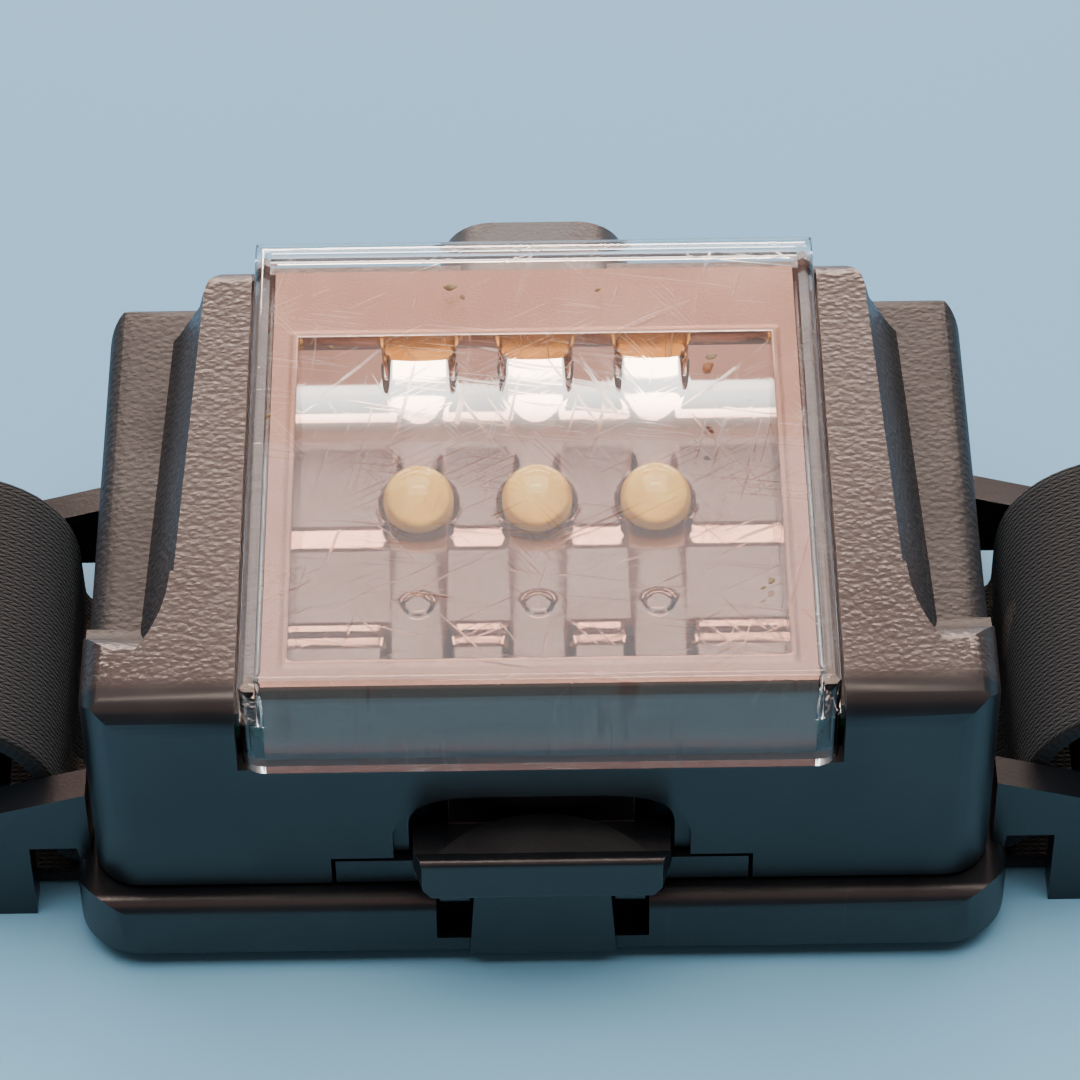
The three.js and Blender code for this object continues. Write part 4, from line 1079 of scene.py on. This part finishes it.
@dataclass
class BatteryTray(SubAssembly):
    """The rear cover with its cells, springs, contact plates, seal and pins."""

    body: Body = Body.TRAY

    def build(self) -> None:
        """Builds the tray's pieces."""
        rack = self.rack
        self.refined("rear_cover", "cover_tray", rack.satin, Slot.SATIN, 0.15 * MM)
        self.refined("tray_seal", "seal_ring", rack.seal, Slot.SEAL, 0.1 * MM)
        for pin in ("tilt_pin", "cover_hinge_pin"):
            self.refined(pin, f"{pin}_rod", rack.steel, Slot.STEEL, 0.1 * MM)
        for plate in ("minus", "left_pair", "right_pair", "plus"):
            self.refined(f"contact_plate_{plate}", f"plate_{plate}", rack.steel, Slot.STEEL, 0.05 * MM)
        for number in (1, 2, 3):
            self.refined(f"cell_spring_{number}", f"spring_{number}", rack.steel, Slot.STEEL, 0)
            self.cell(number)

    def cell(self, number: int) -> None:
        """Builds one cell, its button end where the spring isn't.

        Args:
            number: Which cell, from 1.
        """
        low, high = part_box(f"cell_{number}")
        middle = (low + high) / 2
        half, radius = (high.x - low.x) / 2, (high.y - low.y) / 2
        profile = [
            (0.0, -half + 0.1 * MM),
            (radius * 0.7, -half + 0.1 * MM),
            (radius * 0.72, -half + 0.45 * MM),
            (radius * 0.84, -half + 0.45 * MM),
            (radius * 0.86, -half + 0.15 * MM),
            (radius * 0.97, -half + 0.15 * MM),
            (radius, -half + 0.5 * MM),
            (radius, half - 1.5 * MM),
            (radius * 0.97, half - 1.15 * MM),
            (radius * 0.84, half - 1.15 * MM),
            (radius * 0.8, half - 1.4 * MM),
            (radius * 0.4, half - 1.3 * MM),
            (radius * 0.36, half - 1.2 * MM),
            (radius * 0.35, half - 0.15 * MM),
            (radius * 0.31, half),
            (0.0, half),
        ]
        bm = bmesh.new()
        points = [bm.verts.new((x, r, 0)) for r, x in profile]
        edges = [bm.edges.new(pair) for pair in zip(points, points[1:])]
        bmesh.ops.spin(
            bm,
            geom=points + edges,
            cent=(0, 0, 0),
            axis=(1, 0, 0),
            angle=math.tau,
            steps=64,
            use_merge=True,
            use_duplicate=False,
        )
        bmesh.ops.remove_doubles(bm, verts=bm.verts, dist=0.001 * MM)
        bmesh.ops.recalc_face_normals(bm, faces=bm.faces)
        along = bm.verts.layers.float.new("along")
        for vert in bm.verts:
            vert[along] = vert.co.x
        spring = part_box(f"cell_spring_{number}")
        turn = 0.0 if spring[0].x < 0 else math.pi
        placed = Matrix.Translation(middle) @ Matrix.Rotation(turn, 4, "Z")
        bmesh.ops.transform(bm, matrix=placed, verts=bm.verts)
        piece = self.piece(bm, f"dry_cell_{number}", 30)
        self.fit(piece, self.rack.jacket, Slot.JACKET, [f"cell_{number}"])


# ---------------------------------------------------------------- bracket and headband


@dataclass
class Bracket(SubAssembly):
    """The forehead plate with its arms."""

    body: Body = Body.BRACKET

    def build(self) -> None:
        """Builds the bracket."""
        self.refined("bracket", "forehead_plate", self.rack.satin, Slot.SATIN, 0.22 * MM)


@dataclass
class BandSlider(SubAssembly):
    """The slide buckle that sets the headband's length."""

    body: Body = Body.SLIDER

    def build(self) -> None:
        """Builds the buckle."""
        self.refined("band_slider", "slide_buckle", self.rack.satin, Slot.SATIN, 0.25 * MM)


@dataclass
class Headband(SubAssembly):
    """The loop of stretch webbing, threaded through the plate's arms and folded flat at both ends."""

    body: Body = Body.BRACKET
    width: float = 24.6
    thick: float = 1.4
    centre_y: float = -4.25
    length: float = 580.0
    run_z: float = 9.9
    tail_z: float = 11.6
    back_z: float = 0.7
    reach: float = 122.0
    crest: tuple[float, float] = (44.0, 17.1)
    channel_x: float = 34.7
    channel_z: float = 2.9
    threaded_half: float = 32.5
    step: float = 1.0
    across: int = 24

    def route(self) -> list[tuple[float, float]]:
        """The band's middle line in the upright plane, in millimetres, from one end to the other."""
        crest_x, crest_z = self.crest
        fold = (self.run_z - self.back_z) / 2
        middle = self.back_z + fold
        line: list[tuple[float, float]] = [(-72.0, self.run_z)]
        line += [(-self.reach + 0.0, self.run_z)]
        line += self.arc((-self.reach, middle), fold, 90, 270)
        line += self.arc((self.reach, middle), fold, -90, 90)
        line += [(70.0, self.run_z)]
        line += self.curve((70.0, self.run_z), (60.0, self.run_z), (52.0, crest_z), self.crest)
        line += self.curve(self.crest, (38.6, crest_z), (self.channel_x, 13.6), (self.channel_x, 8.6))
        down = (self.channel_x, 5.1)
        line += [down]
        under = (self.threaded_half, self.channel_z)
        line += self.curve(down, (self.channel_x, 3.6), (34.0, self.channel_z), under)
        mirrored = [(-x, z) for x, z in reversed(line[line.index(down) :])]
        line += mirrored
        crest = (-crest_x, crest_z)
        line += self.curve((-self.channel_x, 8.6), (-self.channel_x, 13.6), (-38.6, crest_z), crest)
        line += self.curve((-crest_x, crest_z), (-52.0, crest_z), (-58.0, self.tail_z), (-68.0, self.tail_z))
        line += [(-114.0, self.tail_z)]
        return line

    @staticmethod
    def arc(
        centre: tuple[float, float], radius: float, first: float, last: float
    ) -> list[tuple[float, float]]:
        """Points on an arc.

        Args:
            centre: Its centre.
            radius: Its radius.
            first: Where it starts, in degrees.
            last: Where it ends, in degrees.

        Returns:
            The points.
        """
        turns = [math.radians(first + (last - first) * n / 16) for n in range(17)]
        return [(centre[0] + radius * math.cos(a), centre[1] + radius * math.sin(a)) for a in turns]

    @staticmethod
    def curve(*points: tuple[float, float]) -> list[tuple[float, float]]:
        """Points on a cubic curve after its first one."""
        out = []
        for n in range(1, 15):
            t = n / 14
            weights = ((1 - t) ** 3, 3 * t * (1 - t) ** 2, 3 * t * t * (1 - t), t**3)
            out.append(tuple(sum(w * p[k] for w, p in zip(weights, points)) for k in (0, 1)))
        return out

    def build(self) -> None:
        """Builds the band: a flat strip laid along its route, then given its thickness and soft edges."""
        line = [Vector((x, z)) for x, z in self.route()]
        marks = [0.0]
        for a, b in zip(line, line[1:]):
            marks.append(marks[-1] + (b - a).length)
        total = marks[-1]
        LOG.info("headband route %.1f mm", total)
        steps = round(total / self.step)
        bm = bmesh.new()
        cloth = bm.loops.layers.uv.new("cloth")
        bmesh.ops.create_grid(bm, x_segments=steps, y_segments=self.across, size=0.5)
        for face in bm.faces:
            for loop in face.loops:
                loop[cloth].uv = ((loop.vert.co.x + 0.5) * total, loop.vert.co.y * self.width)
        for vert in bm.verts:
            at = (vert.co.x + 0.5) * total
            k = next((n for n in range(1, len(marks)) if marks[n] >= at - 1e-6), len(marks) - 1)
            share = (at - marks[k - 1]) / max(1e-9, marks[k] - marks[k - 1])
            place = line[k - 1].lerp(line[k], share)
            across = self.centre_y + vert.co.y * self.width
            vert.co = Vector((place.x, across, place.y)) * MM
        bmesh.ops.recalc_face_normals(bm, faces=bm.faces)
        piece = self.piece(bm, "headband_webbing", 60)
        wall = piece.modifiers.new("Thickness", "SOLIDIFY")
        wall.thickness = self.thick * MM * 0.98
        wall.offset = 0
        wall.use_even_offset = True
        soft = piece.modifiers.new("Soft edges", "BEVEL")
        soft.width = 0.45 * MM
        soft.segments = 3
        soft.limit_method = "ANGLE"
        soft.angle_limit = math.radians(60)
        self.fit(piece, self.rack.webbing, Slot.WEBBING, ["headband"])


# ---------------------------------------------------------------- studio


@dataclass
class Studio:
    """The camera, the lights and the table."""

    elevation: float = math.radians(47)
    distance: float = 350 * MM
    focal: float = 158.67
    roll: float = math.radians(0.8)
    target: tuple[float, float, float] = (0.0, 3.62 * MM, 12.0 * MM)
    off_up: float = 1.47 * MM
    off_right: float = 0.147 * MM

    def camera(self) -> None:
        """Makes the camera, looking down at the near side of the lamp."""
        toward = Vector((0, -math.cos(self.elevation), math.sin(self.elevation)))
        right = Vector((1, 0, 0))
        up = toward.cross(right)
        turned = Matrix.Rotation(self.roll, 3, toward)
        right, up = turned.inverted() @ right, turned.inverted() @ up
        spot = Vector(self.target) + up * self.off_up + right * self.off_right + toward * self.distance
        data = bpy.data.cameras.new("camera")
        data.lens = self.focal
        data.sensor_width = 36
        data.clip_start = 0.01
        camera = bpy.data.objects.new("camera", data)
        camera.matrix_world = Matrix.Translation(spot) @ Matrix((right, up, toward)).transposed().to_4x4()
        bpy.context.scene.collection.objects.link(camera)
        bpy.context.scene.camera = camera

    def softbox(
        self,
        name: str,
        azimuth: float,
        elevation: float,
        reach: float,
        size: tuple[float, float],
        power: float,
        colour: Colour,
        shiny: bool = True,
        matt: bool = True,
    ) -> None:
        """Hangs one area light that faces the lamp.

        Args:
            name: The light's name.
            azimuth: Its bearing from +Y towards +X, in degrees.
            elevation: Its height above the table, in degrees.
            reach: Its distance in metres.
            size: Its width and height in metres.
            power: Its power in watts.
            colour: Its colour.
            shiny: Whether gloss shows it.
            matt: Whether it lights matt surfaces.
        """
        a, e = math.radians(azimuth), math.radians(elevation)
        toward = Vector((math.sin(a) * math.cos(e), math.cos(a) * math.cos(e), math.sin(e)))
        data = bpy.data.lights.new(name, "AREA")
        data.shape = "RECTANGLE"
        data.size, data.size_y = size
        data.energy = power
        data.color = colour
        light = bpy.data.objects.new(name, data)
        light.location = toward * reach + Vector(self.target)
        light.rotation_euler = toward.to_track_quat("Z", "Y").to_euler()
        light.visible_glossy = shiny
        light.visible_diffuse = matt
        light.visible_camera = False
        bpy.context.scene.collection.objects.link(light)

    def table(self) -> None:
        """Makes the pale blue table, painted lighter on the near side and deeper blue further back as painted
        light.
        """
        bm = bmesh.new()
        bmesh.ops.create_grid(bm, x_segments=8, y_segments=8, size=3.0)
        mesh = bpy.data.meshes.new("table")
        bm.to_mesh(mesh)
        bm.free()
        table = bpy.data.objects.new("table", mesh)
        bpy.context.scene.collection.objects.link(table)
        material = bpy.data.materials.new("Pale blue table")
        material.use_nodes = True
        sheet = NodeSheet(material.node_tree)
        shader = material.node_tree.nodes["Principled BSDF"]
        place = sheet.add("ShaderNodeTexCoord").outputs["Object"]
        axes = sheet.add("ShaderNodeSeparateXYZ", {0: place})
        # Painted light: the table's colour fades from a lighter near blue to a deeper far blue along Y.
        depth = sheet.fade(axes.outputs["Y"], -0.05, 0.07)
        cloud = sheet.noise(place, 18, 3)
        near = sheet.blend(cloud, (0.32, 0.54, 0.66), (0.33, 0.56, 0.68))
        far = sheet.blend(cloud, (0.22, 0.47, 0.65), (0.23, 0.49, 0.68))
        sheet.feed(shader.inputs["Base Color"], sheet.blend(depth, near, far))
        shader.inputs["Roughness"].default_value = 0.6
        table.data.materials.append(material)

    def lights(self) -> None:
        """Hangs the lights and sets the world's low fill."""
        warm, peach, cool = (1.0, 0.5, 0.38), (1.0, 0.76, 0.64), (0.72, 0.9, 1.0)
        self.softbox("back box", -18, 52, 0.9, (1.4, 0.55), 2.3, warm, matt=False)
        self.softbox("low strip", 0, 23.5, 0.9, (0.9, 0.09), 16.0, peach, matt=False)
        self.softbox("overhead strip", 0, 86, 0.9, (0.5, 0.14), 3.6, peach, matt=False)
        self.softbox("front box", 180, 58, 0.9, (1.0, 0.5), 1.2, warm, matt=False)
        self.softbox("table fill", 0, 80, 1.2, (1.6, 1.6), 32, cool, shiny=False)
        world = bpy.data.worlds.new("world")
        bpy.context.scene.world = world
        world.use_nodes = True
        background = world.node_tree.nodes["Background"]
        background.inputs["Color"].default_value = (0.68, 0.77, 0.86, 1)
        background.inputs["Strength"].default_value = 0.2

    def build(self) -> None:
        """Builds the whole studio."""
        self.camera()
        self.lights()
        self.table()


def main() -> None:
    """Builds the headlamp's sub-assemblies in order and reports each piece."""
    logging.basicConfig(level=logging.INFO, format="%(name)s: %(message)s", force=True)
    Studio().build()
    rack = FinishRack(EffectGroups())
    outer = (Bracket, Headband, BandSlider, BatteryTray, HeadShell)
    inner = (LensCover, Reflector, LampRow, BoardAssembly)
    for kind in outer + inner:
        part = kind(rack)
        part.build()
        part.report()
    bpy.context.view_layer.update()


if __name__ == "__main__":
    main()
